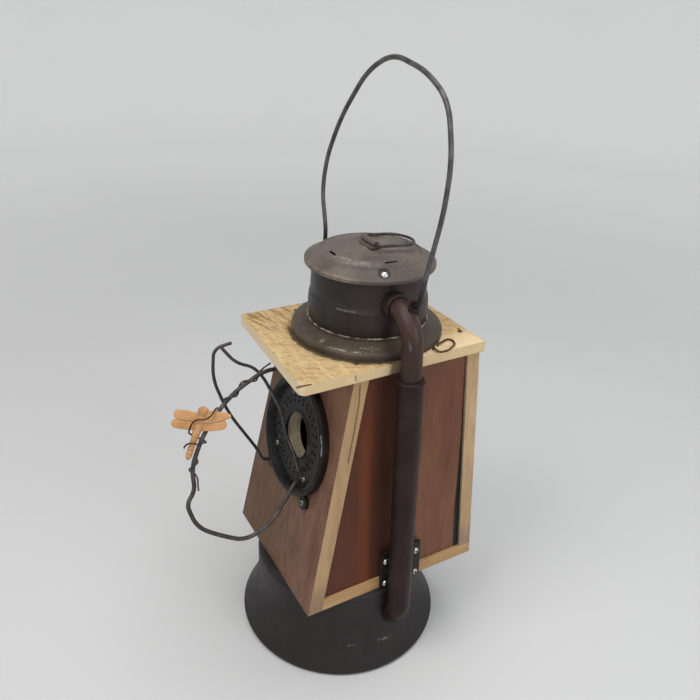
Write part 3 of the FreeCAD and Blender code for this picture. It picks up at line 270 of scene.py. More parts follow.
def worn_paint(name, dark, light, shine, specular, scuffs_and_highlights=()):
    """Old brown-black lantern paint: mottled, dusty in patches, rubbed pale along its edges, with scuff marks
    and painted highlights.

    Each mark is a list of points, a width and a colour: scuff marks on the foot, painted highlights on the
    elbows.
    """
    s = Shader(name)
    mottle = s.noise(0.035, detail=6, rough=0.6)
    fine = s.noise(0.0035, detail=5)
    patch = s.noise(0.016, detail=7, rough=0.65, twist=0.4)
    speck = s.cells(0.006, s.stretched((1, 1, 1.6)))
    edge, rounded = s.edges(0.5 * MM)
    colour = s.mix(s.ramp(mottle, (0.35, 0.0), (0.7, 1.0)), dark, light)
    dust = s.times(s.ramp(patch, (0.56, 0.0), (0.74, 1.0)), 0.3)
    colour = s.mix(dust, colour, (0.08, 0.06, 0.052))
    chips = s.times(s.step(speck, 0.12, 0.05), s.step(patch, 0.55, 0.66), 0.3)
    rub = s.times(edge, s.step(patch, 0.42, 0.6), 0.4)
    colour = s.mix(s.times(s.strongest(rub, chips), 0.7), colour, (0.25, 0.215, 0.19))
    scratch = s.noise(0.0013, s.stretched((3, 3, 0.8)), detail=4)
    # Scuff marks, and on the elbows painted highlights: pale strokes drawn over the paint.
    for points, width, tint in scuffs_and_highlights:
        mark = s.times(s.strokes(points, width, 0.3 * width), s.ramp(scratch, (0.4, 0.15), (0.6, 1.0)))
        colour = s.mix(mark, colour, tint)
    rough = s.ramp(patch, (0.3, shine), (0.75, shine + 0.2))
    normal = s.bump(fine, 0.1 * MM, 0.45, s.bump(mottle, 0.6 * MM, 0.35, rounded))
    return s.finish(colour, rough, normal, specular=specular)


CROWN_LINES = ((28.4 * MM, 28.8 * MM, 1.4 * MM), (23.4 * MM, 23.7 * MM, 1.2 * MM))
# Painted highlights: pale bluish strokes on the crown, each given as points, a width and an amount.
CROWN_HIGHLIGHTS = (
    (((19.5, -22.0, 297.3), (24.3, -19.0, 296.6)), 0.7 * MM, 0.22),
    (((20.5, -22.5, 294.3), (25.8, -19.0, 294.0), (30.5, -14.8, 294.2)), 1.0 * MM, 0.42),
)


def crown_paint():
    """The crown's black paint, browner to the right, with two pressed lines, scratches brightened with
    painted highlight, and painted highlights.
    """
    s = Shader("crown_paint")
    patch = s.noise(0.018, detail=7, rough=0.62, twist=0.3)
    fine = s.noise(0.003, detail=5)
    streak = s.noise(0.004, s.stretched((3.5, 3.5, 0.5)), detail=5, rough=0.6)
    rise = s.math("SUBTRACT", s.axis("Z"), ROOF_TOP)
    line = s.strongest(*[s.within(rise, *band) for band in CROWN_LINES])
    band = s.within(s.wobbly(rise, 0.02, 3 * MM), 24 * MM, 33 * MM, 3 * MM)
    # Pale bluish streaks in a band at the front: scratches, brightened as painted highlight.
    scratch = s.times(band, s.step(streak, 0.6, 0.72), s.near((22, -22, 296), 8, 26))
    warm = s.step(s.axis("X"), 10 * MM, 34 * MM)
    cool = s.ramp(patch, (0.35, (0.015, 0.0147, 0.0152)), (0.72, (0.031, 0.0285, 0.0275)))
    brown = s.ramp(patch, (0.35, (0.0175, 0.0118, 0.0102)), (0.72, (0.039, 0.0245, 0.0205)))
    colour = s.mix(warm, cool, brown)
    colour = s.mix(s.times(scratch, 0.35), colour, (0.1, 0.11, 0.125))
    # Painted highlights: pale bluish strokes where light falls on the crown.
    for points, width, amount in CROWN_HIGHLIGHTS:
        mark = s.times(s.strokes(points, width, 0.3 * width), s.ramp(fine, (0.4, 0.3), (0.6, 1.0)))
        colour = s.mix(s.times(mark, amount), colour, (0.19, 0.215, 0.24))
    rough = s.ramp(patch, (0.3, 0.34), (0.75, 0.48))
    ridge = s.math("ADD", s.times(line, 0.55), s.times(patch, 0.5))
    normal = s.bump(fine, 0.08 * MM, 0.4, s.bump(ridge, 0.5 * MM, 0.6))
    return s.finish(colour, rough, normal, specular=0.3)


def weathered_metal(name, dark, light, pale):
    """Bare grey-brown sheet: pitted, streaked, dull, and rubbed bright along its edges."""
    s = Shader(name)
    broad = s.noise(0.028, detail=7, rough=0.62)
    fine = s.noise(0.0026, detail=6, rough=0.7)
    pits = s.cells(0.0035)
    edge, rounded = s.edges(0.6 * MM)
    colour = s.mix(s.ramp(broad, (0.32, 0.0), (0.68, 1.0)), dark, light)
    colour = s.mix(s.ramp(fine, (0.52, 0.0), (0.78, 0.55)), colour, pale)
    darkening = s.times(s.step(pits, 0.16, 0.06), s.step(broad, 0.6, 0.45))
    colour = s.mix(s.times(darkening, 0.6), colour, (0.035, 0.027, 0.022))
    colour = s.mix(s.times(edge, s.ramp(fine, (0.4, 0.0), (0.6, 0.6))), colour, pale)
    rough = s.ramp(fine, (0.3, 0.42), (0.8, 0.66))
    waves = s.bump(broad, 0.9 * MM, 0.4, rounded)
    normal = s.bump(s.ramp(pits, (0.0, 0.0), (0.35, 1.0)), 0.1 * MM, 0.4, waves)
    return s, colour, rough, normal


LID_SCREW_TURN = Matrix.Rotation(math.radians(-18), 4, "Z")
LID_SLOPE = math.atan(5.4 / 9.9)
LID_SCREW_REACH = 40.4 * MM
LID_BEAD = (29.5 * MM, 32.5 * MM, 2.5 * MM)
LID_RIM_RADIUS = 44.6 * MM
LID_RIM_TOP = 319.4 * MM


def lid_screw_place():
    """The lid screw's frame, with z out of its head and the origin under the dome."""
    turn = LID_SCREW_TURN @ Matrix.Rotation(LID_SLOPE, 4, "Y")
    reach = LID_SCREW_TURN @ Vector((LID_SCREW_REACH, 0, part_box("lid_screw")[1].z))
    return Matrix.Translation(CROWN_AXIS + reach - turn @ Vector((0, 0, SCREW_HEAD))) @ turn


def lid_metal():
    """Grey-brown lid: rubbed pale on the bead at the front, tan along its rim, dark round the screw, with
    painted shade away from the front of its dome and on its right.
    """
    shades = (0.096, 0.076, 0.064), (0.195, 0.162, 0.138), (0.29, 0.245, 0.2)
    s, colour, rough, normal = weathered_metal("lid_metal", *shades)
    far = s.from_crown()
    broken = s.noise(0.005, detail=5)
    # Painted shade: darker away from the front of the dome, and darker again on the lid's right.
    painted_shading = s.step(s.vector("DISTANCE", s.place, (16 * MM, -6 * MM, 325 * MM), "Value"), 24 * MM, 66 * MM)
    colour = s.mix(s.times(painted_shading, 0.55), colour, (0.05, 0.041, 0.035))
    colour = s.mix(s.times(s.near((42, 0, 317), 12, 34), 0.6), colour, (0.055, 0.046, 0.04))
    bead = s.times(s.within(far, *LID_BEAD), s.near((19, -10, 324.5), 7, 22),
                   s.ramp(broken, (0.4, 0.1), (0.6, 0.62)))
    colour = s.mix(bead, colour, (0.33, 0.3, 0.265))
    rim = s.times(s.step(far, LID_RIM_RADIUS - 1 * MM, LID_RIM_RADIUS),
                  s.step(s.axis("Z"), LID_RIM_TOP, LID_RIM_TOP - 0.8 * MM),
                  s.near((14, -30, 318), 14, 32), s.ramp(broken, (0.38, 0.05), (0.6, 0.5)))
    colour = s.mix(rim, colour, (0.26, 0.205, 0.14))
    seat = lid_screw_place().to_translation() / MM
    colour = s.mix(s.times(s.near(seat, 3.9, 4.8), 0.85), colour, (0.018, 0.015, 0.013))
    return s.finish(colour, rough, normal, metallic=0.25)


FLANGE_STEP = (52.2 * MM, 52.7 * MM, 0.6 * MM)
FLANGE_SPECKS = ((40.7, -13.4, 271.4), (45.1, -4.4, 271.6))


def flange_metal():
    """As the lid, darker, worn to pale metal where the crown stands on it and on its lower step."""
    shades = (0.047, 0.0345, 0.0245), (0.1, 0.076, 0.055), (0.165, 0.127, 0.092)
    s, colour, rough, normal = weathered_metal("flange_metal", *shades)
    far = s.from_crown()
    rise = s.wobbly(s.axis("Z"), 0.004, 0.25 * MM)
    broken = s.noise(0.006, detail=5)
    top = s.times(s.step(rise, FLANGE_COLLAR - 0.8 * MM, FLANGE_COLLAR - 0.35 * MM),
                  s.ramp(broken, (0.46, 0.0), (0.6, 0.9)))
    lower = s.times(s.within(s.wobbly(far, 0.005, 0.3 * MM), *FLANGE_STEP),
                    s.near((38, -21, 270), 10, 19), s.ramp(broken, (0.42, 0.0), (0.58, 0.55)))
    speckle = s.times(s.strokes(FLANGE_SPECKS, 3.2 * MM), s.step(s.noise(0.0016, detail=3), 0.54, 0.64))
    dot = s.times(s.near((18.4, -32.4, 271.2), 0.3, 3.2), 0.26)
    colour = s.mix(s.strongest(top, lower, s.times(speckle, 0.6), dot), colour, (0.5, 0.44, 0.345))
    return s.finish(colour, rough, normal, metallic=0.15)


# Painted highlights: pale bluish strokes on the plate's rim and lip, each given as points, a width and an
# amount.
PLATE_HIGHLIGHTS = (
    (((38.2, -41.7, 209.0), (42.0, -43.0, 203.0), (43.6, -44.0, 196.4)), 0.7 * MM, 0.8),
    (((19.5, -41.1, 188.0), (19.5, -42.4, 181.5)), 0.5 * MM, 0.55),
    (((-24.5, -44.4, 172.5), (-24.7, -44.9, 168.5)), 0.8 * MM, 0.3),
)


def black_enamel():
    """The plate's black enamel, dusty in the dents, with painted highlights on its rim and lip."""
    s = Shader("black_enamel")
    mottle = s.noise(0.012, detail=6, rough=0.6)
    fine = s.noise(0.002, detail=4)
    speck = s.cells(0.005)
    edge, rounded = s.edges(0.6 * MM)
    warm = s.step(s.axis("X"), -8 * MM, 26 * MM)
    cool = s.ramp(mottle, (0.4, (0.0115, 0.0112, 0.0115)), (0.75, (0.026, 0.0235, 0.0225)))
    brown = s.ramp(mottle, (0.4, (0.0125, 0.0095, 0.008)), (0.75, (0.027, 0.02, 0.0165)))
    colour = s.mix(warm, cool, brown)
    dust = s.times(s.step(speck, 0.12, 0.04), s.step(mottle, 0.45, 0.6), 0.35)
    colour = s.mix(dust, colour, (0.16, 0.15, 0.135))
    colour = s.mix(s.times(edge, s.step(mottle, 0.46, 0.66), 0.5), colour, (0.06, 0.054, 0.05))
    # Painted highlights on the rim and the lip.
    for points, width, amount in PLATE_HIGHLIGHTS:
        mark = s.times(s.strokes(points, width, 0.25 * width), s.ramp(fine, (0.35, 0.4), (0.6, 1.0)))
        colour = s.mix(s.times(mark, amount), colour, (0.3, 0.34, 0.4))
    rough = s.ramp(mottle, (0.3, 0.34), (0.75, 0.5))
    return s.finish(colour, rough, s.bump(fine, 0.1 * MM, 0.4, rounded), specular=0.14)


DARK_FADE = 12 * MM


def dark_wire(name, dark, middle, pale, darkening=None):
    """Old iron wire: dark, with paler bloom, and nearly black below a height if one is given."""
    s = Shader(name)
    bloom = s.noise(0.006, detail=6, rough=0.65)
    fine = s.noise(0.0012, detail=4)
    colour = s.ramp(bloom, (0.35, dark), (0.55, middle), (0.75, pale))
    if darkening:
        low = s.step(s.axis("Z"), darkening + DARK_FADE, darkening - DARK_FADE)
        colour = s.mix(low, colour, (0.022, 0.018, 0.016))
    rough = s.ramp(fine, (0.3, 0.36), (0.75, 0.58))
    return s.finish(colour, rough, s.bump(fine, 0.2 * MM, 0.5), metallic=0.5)


def bright_steel(name, bright, dull):
    """Screw heads: bright steel with dull tarnished patches and fine scratches."""
    s = Shader(name)
    scratch = s.noise(0.0009, s.stretched((1, 4, 1)), detail=4)
    tarnish = s.noise(0.003, detail=4)
    colour = s.mix(s.ramp(tarnish, (0.42, 0.0), (0.72, 0.85)), bright, dull)
    rough = s.ramp(scratch, (0.3, 0.22), (0.75, 0.42))
    return s.finish(colour, rough, s.bump(scratch, 0.1 * MM, 0.5), metallic=1.0)


def recess_shade_and_grit():
    """Painted shade and grit of the cross cut in a screw's head, for the flat inlay that stands for the cut.
    """
    s = Shader("recess_shade_and_grit")
    grit = s.noise(0.0008, detail=4)
    colour = s.ramp(grit, (0.35, (0.012, 0.01, 0.009)), (0.7, (0.05, 0.042, 0.036)))
    return s.finish(colour, 0.7, s.bump(grit, 0.1 * MM, 0.5))


# Wood


def pine(name, along, pale, warm, deep):
    """Bare pine: rings drawn out along one axis with fine fibres, blotches and a few dark flecks."""
    s = Shader(name)
    stretch = [1.0, 1.0, 1.0]
    stretch["XYZ".index(along)] = 10.0
    fibre = s.noise(0.0026, s.stretched(stretch), detail=6, rough=0.65)
    rings = s.noise(0.009, s.stretched(stretch), detail=3, twist=0.6)
    blotch = s.noise(0.03, detail=4)
    colour = s.ramp(rings, (0.34, pale), (0.5, warm), (0.62, pale))
    colour = s.mix(s.ramp(fibre, (0.52, 0.0), (0.78, 0.7)), colour, deep)
    colour = s.mix(s.ramp(blotch, (0.5, 0.0), (0.75, 0.3)), colour, deep)
    fleck = s.step(s.cells(0.011, s.stretched(stretch)), 0.1, 0.03)
    colour = s.mix(s.times(fleck, 0.55), colour, (0.16, 0.09, 0.045))
    height = s.math("ADD", fibre, s.times(rings, 0.5))
    return s, colour, height


def pine_edge(name, along, pale, warm, deep, dirt):
    """Pine boards whose edges show, paler and greyer with painted light on faces turned to the front; dirt is
    the height below which they are stained grey-brown.
    """
    s, colour, height = pine(name, along, pale, warm, deep)
    edge, rounded = s.edges(0.7 * MM)
    colour = s.mix(s.times(edge, 0.35), colour, (0.27, 0.16, 0.08))
    foot = s.step(s.wobbly(s.axis("Z"), 0.02, 12 * MM), dirt + 16 * MM, dirt - 16 * MM)
    colour = s.mix(s.times(foot, 0.6), colour, (0.19, 0.135, 0.1))
    # Painted light: faces turned to the front, the back board's inner face among them, paler and greyer.
    inside = s.step(s.facing("Y"), -0.6, -0.9)
    colour = s.mix(s.times(inside, 0.6), colour, (0.36, 0.34, 0.28))
    return s.finish(colour, 0.68, s.bump(height, 0.5 * MM, 0.5, rounded), specular=0.2)


# The side towards which the dirt and painted shade lie round the flange.
DIRT_AND_SHADE_SIDE = (0.5, -0.87, 0)
ROOF_CRACKS = (
    (((50.7, -66.5, 260.7), (53.9, -66.0, 262.8), (55.5, -64.7, 263.8), (56.4, -63.1, 264.4),
      (56.6, -59.3, 264.4)), 0.8 * MM),
    (((56.6, -27.2, 262.2), (56.6, -27.0, 258.6)), 0.45 * MM),
    (((31.0, 73.6, 264.6), (36.5, 72.9, 264.6)), 0.9 * MM),
)


def roof_pine():
    """Rough-sawn roof: pale yellow with saw marks and streaks on the left, painted light on its edges and on
    the top to the right of the crown, dirt and painted shade round the crown's flange, and a painted shadow
    of the tube.
    """
    shades = (0.66, 0.485, 0.255), (0.585, 0.41, 0.2), (0.37, 0.235, 0.105)
    s, colour, height = pine("roof_pine", "X", *shades)
    top = s.step(s.facing("Z"), 0.7, 0.9)
    marks = s.noise(0.0014, s.stretched((4.5, 1, 1), (0, 0, 21)), detail=3, rough=0.6)
    cross = s.noise(0.0024, s.stretched((1, 6, 1), (0, 0, -18)), detail=3)
    sawn = s.strongest(s.step(marks, 0.52, 0.63), s.times(s.step(cross, 0.55, 0.67), 0.8))
    colour = s.mix(s.times(sawn, top, 0.68), colour, (0.29, 0.18, 0.078))
    corner = s.strokes(((-47, -54, 264.6), (-50, -12, 264.6)), 36 * MM)
    dashes = s.step(s.noise(0.0042, s.stretched((5.5, 1, 1), (0, 0, 14)), detail=3), 0.5, 0.6)
    colour = s.mix(s.times(corner, dashes, top, 0.75), colour, (0.2, 0.115, 0.05))
    # Painted light: the roof's edges paler than its top, and its front edge paler again.
    side = s.math("SUBTRACT", 1.0, top)
    colour = s.mix(s.times(side, 0.55), colour, (0.82, 0.63, 0.385))
    colour = s.mix(s.times(s.step(s.facing("Y"), -0.5, -0.8), 0.45), colour, (0.8, 0.7, 0.54))
    # Painted light: the top to the right of the crown made paler.
    painted_light_right_of_crown = s.times(s.step(s.axis("X"), 25 * MM, 50 * MM), s.step(s.axis("Y"), -5 * MM, 20 * MM), top)
    colour = s.mix(s.times(painted_light_right_of_crown, 0.6), colour, (0.87, 0.69, 0.44))
    front_corner = s.times(s.step(s.axis("Y"), -25 * MM, -50 * MM), top)
    colour = s.mix(s.times(front_corner, 0.1), colour, (0.3, 0.21, 0.11))
    # Dirt and painted shade: a dark ring round the front of the crown's flange, with a softer halo of painted
    # shade.
    ring = s.wobbly(s.from_crown(), 0.006, 2.4 * MM)
    soft = s.step(s.wobbly(s.from_crown(), 0.012, 5 * MM), 62 * MM, 54 * MM)
    from_axis = s.vector("SUBTRACT", s.place, tuple(CROWN_AXIS))
    towards = s.vector("DOT_PRODUCT", from_axis, DIRT_AND_SHADE_SIDE, "Value")
    front = s.step(s.wobbly(towards, 0.02, 8 * MM), 18 * MM, 40 * MM)
    darkening = s.times(s.strongest(s.step(ring, 59.2 * MM, 56.4 * MM), s.times(soft, 0.5)), front)
    colour = s.mix(s.times(darkening, top, 0.9), colour, (0.035, 0.023, 0.014))
    # Painted shadow of the tube on the roof's right edge, where it stands just off the edge.
    tube_shadow_band = s.within(s.wobbly(s.axis("Y"), 0.006, 1.5 * MM), 1 * MM, 16 * MM, 3.5 * MM)
    tone = s.times(tube_shadow_band, s.step(s.axis("X"), ROOF_HALF - 7 * MM, ROOF_HALF - 1 * MM))
    colour = s.mix(s.times(tone, 0.7), colour, (0.09, 0.06, 0.038))
    cracks = s.strongest(*[s.strokes(points, width, 0.4 * width) for points, width in ROOF_CRACKS])
    colour = s.mix(s.times(cracks, 0.9), colour, (0.11, 0.05, 0.025))
    _, rounded = s.edges(1.0 * MM)
    teeth = s.times(s.math("ADD", marks, cross), top, 1.2)
    total = s.math("SUBTRACT", s.math("ADD", height, teeth), s.times(cracks, 1.5))
    return s.finish(colour, 0.78, s.bump(total, 0.8 * MM, 0.8, rounded), specular=0.15)


FRONT_SPLIT = ((54.1, -22.2, 252.6), (54.9, -22.7, 239.0), (55.9, -25.7, 220.0), (57.3, -30.4, 195.7))


def stained_front():
    """The front board: brown stain on upright grain, warmer to the right, with bare edges."""
    s = Shader("stained_front")
    fibre = s.noise(0.0022, s.stretched((1, 1, 16)), detail=6, rough=0.68)
    broad = s.noise(0.012, s.stretched((1, 1, 9)), detail=4, twist=0.6)
    cloud = s.noise(0.05, detail=3)
    warm = s.step(s.wobbly(s.axis("X"), 0.03, 18 * MM), -40 * MM, 40 * MM)
    olive = s.ramp(broad, (0.32, (0.085, 0.046, 0.026)), (0.5, (0.153, 0.085, 0.049)),
                   (0.68, (0.107, 0.058, 0.033)))
    ruddy = s.ramp(broad, (0.32, (0.13, 0.062, 0.04)), (0.5, (0.215, 0.11, 0.071)),
                   (0.68, (0.155, 0.074, 0.047)))
    tone = s.mix(warm, olive, ruddy)
    tone = s.mix(s.ramp(fibre, (0.48, 0.0), (0.78, 0.75)), tone, (0.055, 0.03, 0.02))
    tone = s.mix(s.ramp(cloud, (0.45, 0.0), (0.75, 0.4)), tone, (0.085, 0.048, 0.03))
    thin = s.times(s.near((46, -24, 246), 6, 34), s.ramp(broad, (0.35, 0.35), (0.65, 0.75)))
    tone = s.mix(thin, tone, (0.34, 0.185, 0.095))
    bare = s.ramp(broad, (0.3, (0.385, 0.24, 0.125)), (0.6, (0.475, 0.31, 0.165)),
                  (0.75, (0.395, 0.25, 0.13)))
    bare = s.mix(s.ramp(fibre, (0.52, 0.0), (0.78, 0.7)), bare, (0.27, 0.155, 0.075))
    split = s.strokes(FRONT_SPLIT, 0.9 * MM, 0.4 * MM)
    bare = s.mix(s.times(split, 0.8), bare, (0.13, 0.065, 0.03))
    foot = s.step(s.wobbly(s.axis("Z"), 0.015, 10 * MM), 104 * MM, 74 * MM)
    bare = s.mix(s.times(foot, 0.6), bare, (0.19, 0.13, 0.092))
    side = s.step(s.math("ABSOLUTE", s.facing("X")), 0.4, 0.6)
    edge, rounded = s.edges(0.8 * MM)
    colour = s.mix(side, tone, bare)
    offset = s.vector("SUBTRACT", s.place, tuple(PLATE.to_translation()))
    beside = s.vector("CROSS_PRODUCT", offset, tuple(PLATE.col[2].to_3d()))
    away = s.vector("LENGTH", beside, output="Value")
    bore = s.step(away, ENTRANCE_RADIUS + 0.5 * MM, ENTRANCE_RADIUS + 0.2 * MM)
    colour = s.mix(bore, colour, s.ramp(fibre, (0.45, (0.53, 0.455, 0.32)), (0.7, (0.31, 0.25, 0.165))))
    colour = s.mix(s.times(edge, 0.3), colour, (0.2, 0.115, 0.06))
    height = s.math("ADD", fibre, s.times(broad, 0.4))
    rough = s.ramp(broad, (0.3, 0.5), (0.7, 0.64))
    return s.finish(colour, rough, s.bump(height, 0.45 * MM, 0.55, rounded), specular=0.22)


def stained_panel():
    """The side panels: red-brown varnish, darker in front, with a painted orange band of reflected light, a
    painted reflection of the dark tube and painted shade at the back edge.
    """
    s = Shader("stained_panel")
    fibre = s.noise(0.0026, s.stretched((1, 1, 18)), detail=5, rough=0.62)
    cloud = s.noise(0.035, s.stretched((1, 1, 3)), detail=4, twist=0.3)
    along = s.wobbly(s.axis("Y"), 0.05, 3 * MM)
    colour = s.ramp(cloud, (0.3, (0.14, 0.051, 0.026)), (0.52, (0.2, 0.082, 0.044)),
                    (0.72, (0.225, 0.105, 0.062)))
    front = s.step(along, 2 * MM, -8 * MM)
    colour = s.mix(front, colour, s.ramp(cloud, (0.3, (0.062, 0.0165, 0.0075)), (0.7, (0.112, 0.03, 0.0135))))
    low = s.step(s.wobbly(s.axis("Z"), 0.04, 10 * MM), 246 * MM, 205 * MM)
    # Painted reflected light: an orange band in front of the tube, fainter higher up.
    glow = s.within(along, -17 * MM, -13 * MM, 7 * MM)
    colour = s.mix(s.times(glow, s.ramp(low, (0.0, 0.3), (1.0, 0.85))), colour, (0.142, 0.032, 0.0075))
    # Painted reflection of the dark tube: a dark band beside it.
    painted_shading = s.within(along, -5 * MM, 14 * MM, 8 * MM)
    colour = s.mix(s.times(painted_shading, 0.85), colour, (0.062, 0.022, 0.0135))
    colour = s.mix(s.ramp(fibre, (0.5, 0.0), (0.8, 0.55)), colour, (0.06, 0.022, 0.012))
    # Painted shade: a near-black strip along the back edge, where the recess between panel and back board
    # lies in shadow; it widens lower down.
    fall = s.times(s.math("SUBTRACT", s.axis("Z"), HOUSE_FOOT), BACK_SLOPE)
    inside = s.math("SUBTRACT", BACK_FOOT - BACK_BOARD, s.math("ADD", s.axis("Y"), fall))
    width = s.times(s.step(s.axis("Z"), 215 * MM, 95 * MM), 4.5 * MM)
    painted_gap_shade = s.step(s.wobbly(s.math("SUBTRACT", inside, width), 0.02, 1.6 * MM), 1.0 * MM, -0.2 * MM)
    colour = s.mix(painted_gap_shade, colour, (0.006, 0.004, 0.003))
    rough = s.ramp(cloud, (0.3, 0.36), (0.7, 0.5))
    return s.finish(colour, rough, s.bump(fibre, 0.25 * MM, 0.4), specular=0.25)


def carved_wood():
    """The dragonfly's orange-tan wood with soft grain, and painted shade in its carved grooves and along its
    wings' edges.
    """
    s = Shader("carved_wood")
    grain = s.noise(0.0014, s.stretched((5, 5, 1), (0, 0, 59)), detail=5)
    broad = s.noise(0.008, detail=4)
    colour = s.ramp(broad, (0.3, (0.43, 0.215, 0.09)), (0.55, (0.535, 0.295, 0.135)),
                    (0.75, (0.475, 0.25, 0.107)))
    colour = s.mix(s.ramp(grain, (0.5, 0.0), (0.8, 0.4)), colour, (0.36, 0.17, 0.06))
    # Painted shade: darker where the carving attribute marks the grooves and the wings' edges.
    groove_shade = s.add("ShaderNodeAttribute", attribute_name="carving").outputs["Fac"]
    colour = s.mix(s.times(groove_shade, 0.8), colour, (0.2, 0.08, 0.028))
    return s.finish(colour, 0.6, s.bump(grain, 0.3 * MM, 0.5), specular=0.2)


# Scuffs on the foot and painted highlights on the right elbow, and the material of each imported solid

BASE_SCUFFS = (
    (((73.6, -4.0, 23.9), (74.2, 3.3, 22.6)), 1.3 * MM, (0.17, 0.155, 0.145)),
    (((69.6, -23.5, 24.6), (67.8, -28.5, 24.4)), 1.1 * MM, (0.1, 0.092, 0.088)),
)
# Painted highlights: pale strokes on the right elbow where light glints on it.
ELBOW_HIGHLIGHTS = (
    (((68.9, 3.6, 285.4), (70.4, 4.1, 281.0)), 1.2 * MM, (0.135, 0.145, 0.16)),
    (((54.8, 1.9, 295.4), (59.0, 1.9, 293.2), (62.0, 1.9, 290.4)), 0.6 * MM, (0.15, 0.115, 0.1)),
)
BACK_DIRT = 96 * MM
FLOOR_DIRT = 40 * MM
BAIL_DARK_BELOW = 322 * MM
PAINTS = {
    worn_paint("lantern_paint", (0.017, 0.0135, 0.014), (0.029, 0.0235, 0.024), 0.4, 0.22, BASE_SCUFFS):
        ("font_shell", "font_bottom", "bracket_right", "bracket_left"),
    worn_paint("tube_paint", (0.017, 0.009, 0.0078), (0.032, 0.0175, 0.0155), 0.36, 0.16):
        ("tube_right", "tube_left", "bail_ear_right", "bail_ear_left"),
    worn_paint("elbow_paint", (0.03, 0.0155, 0.012), (0.06, 0.033, 0.027), 0.3, 0.24, ELBOW_HIGHLIGHTS):
        ("elbow_right", "elbow_left"),
    worn_paint("collar_paint", (0.018, 0.011, 0.0095), (0.034, 0.022, 0.019), 0.34, 0.2):
        ("collar_right", "collar_left"),
    crown_paint(): ("crown_shell",),
    lid_metal(): ("lid", "ring_knuckle"),
    flange_metal(): ("crown_flange",),
    roof_pine(): ("roof_board",),
    pine_edge("pine_upright", "Z", (0.55, 0.385, 0.225), (0.475, 0.315, 0.175), (0.305, 0.188, 0.097),
              BACK_DIRT): ("back_board",),
    pine_edge("pine_floor", "Y", (0.5, 0.31, 0.15), (0.43, 0.25, 0.115), (0.28, 0.15, 0.065),
              FLOOR_DIRT): ("floor_board",),
    stained_front(): ("front_board",),
    stained_panel(): ("side_panel_right", "side_panel_left"),
    black_enamel(): ("entrance_plate", "lug_right", "lug_left"),
    dark_wire("iron_wire", (0.035, 0.028, 0.026), (0.075, 0.064, 0.059), (0.12, 0.1, 0.09)):
        ("guard_wire_left", "guard_wire_right", "perch_wire", "binding_upper", "binding_lower", "lift_ring"),
    dark_wire("bail_wire", (0.06, 0.056, 0.054), (0.115, 0.11, 0.107), (0.17, 0.165, 0.16), BAIL_DARK_BELOW):
        ("bail",),
    bright_steel("bright_steel", (0.6, 0.59, 0.56), (0.2, 0.18, 0.16)):
        ("lid_screw", "bracket_screws_right", "bracket_screws_left"),
    bright_steel("dull_steel", (0.2, 0.19, 0.175), (0.06, 0.052, 0.045)):
        ("plate_screws", "lug_screw"),
    dark_wire("rusty_nail", (0.05, 0.024, 0.014), (0.11, 0.055, 0.03), (0.19, 0.11, 0.065)):
        ("roof_nails",),
    dark_wire("copper_wire", (0.06, 0.026, 0.016), (0.12, 0.056, 0.034), (0.18, 0.09, 0.055)):
        ("tie_wire",),
    carved_wood(): ("dragonfly",),
    dark_wire("brown_wire", (0.04, 0.016, 0.011), (0.085, 0.034, 0.022), (0.13, 0.058, 0.036)):
        ("dragonfly_tie",),
}
for material, names in PAINTS.items():
    for name in names:
        nodes[name].data.materials.clear()
        nodes[name].data.materials.append(material)


def smooth(obj, angle=32):
    """Shades a mesh smooth, with sharp edges above an angle."""
    obj.data.shade_smooth()
    obj.data.set_sharp_from_angle(angle=math.radians(angle))


for obj in nodes.values():
    smooth(obj)


# Pieces built here


def mesh_piece(name, verts, faces, material, body):
    """A smooth mesh that rides on a body and takes its finish from a slot."""
    mesh = bpy.data.meshes.new(name)
    mesh.from_pydata([tuple(vert) for vert in verts], [], faces)
    mesh.validate()
    mesh.update()
    obj = bpy.data.objects.new(name, mesh)
    bpy.context.scene.collection.objects.link(obj)
    mesh.materials.append(material)
    smooth(obj, 50)
    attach(obj, body)
    return obj


class Carving:
    """Grids of points that together make one carved mesh, each point with a depth of carving."""

    def __init__(self):
        self.verts = []
        self.faces = []
        self.depths = []

    def grid(self, rows, columns, at):
        """A grid closed round its columns; at gives a place and a depth for a row and column, 0 to 1."""
        first = len(self.verts)
        for row in range(rows + 1):
            for column in range(columns):
                place, depth = at(row / rows, column / columns)
                self.verts.append(place)
                self.depths.append(depth)
        for row in range(rows):
            for column in range(columns):
                beside = (column + 1) % columns
                corners = [(row, column), (row, beside), (row + 1, beside), (row + 1, column)]
                self.faces.append([first + r * columns + c for r, c in corners])

    def piece(self, name, place, material, body):
        """The whole carving as one mesh at a place, with its depths in an attribute."""
        verts = [place @ Vector(vert) for vert in self.verts]
        obj = mesh_piece(name, verts, self.faces, material, body)
        layer = obj.data.attributes.new("carving", "FLOAT", "POINT")
        layer.data.foreach_set("value", self.depths)
        return obj


BODY_LENGTH = 36 * MM
BODY_RADIUS = 3 * MM
HEAD_REACH = BODY_LENGTH * 0.262
TAIL_RINGS = 13
EYE_RADIUS = 0.42 * BODY_RADIUS
EYE_PLACE = (0.62 * BODY_RADIUS, BODY_LENGTH * 0.2, 0.55 * BODY_RADIUS)
WING_WIDTH = 7.5 * MM
WING_THICKNESS = 2.0 * MM
WINGS = (
    {"root": 0.05, "heading": 19.5, "length": 20.0 * MM, "broad": 1.3, "taper": 0.72},
    {"root": -0.112, "heading": 19.5, "length": 18.8 * MM, "broad": 1.0, "taper": 0.0},
    {"root": 0.045, "heading": 188, "length": 18.8 * MM, "broad": 0.82, "taper": -0.1},
    {"root": -0.09, "heading": 193, "length": 18.8 * MM, "broad": 1.0, "taper": 0.1},
)
WING_LEVELS = (WING_THICKNESS * 0.22, WING_THICKNESS * -0.12)
DRAGONFLY = (PLATE @ Matrix.Translation((6.1 * MM, 23 * MM, 81.3 * MM))).to_translation()
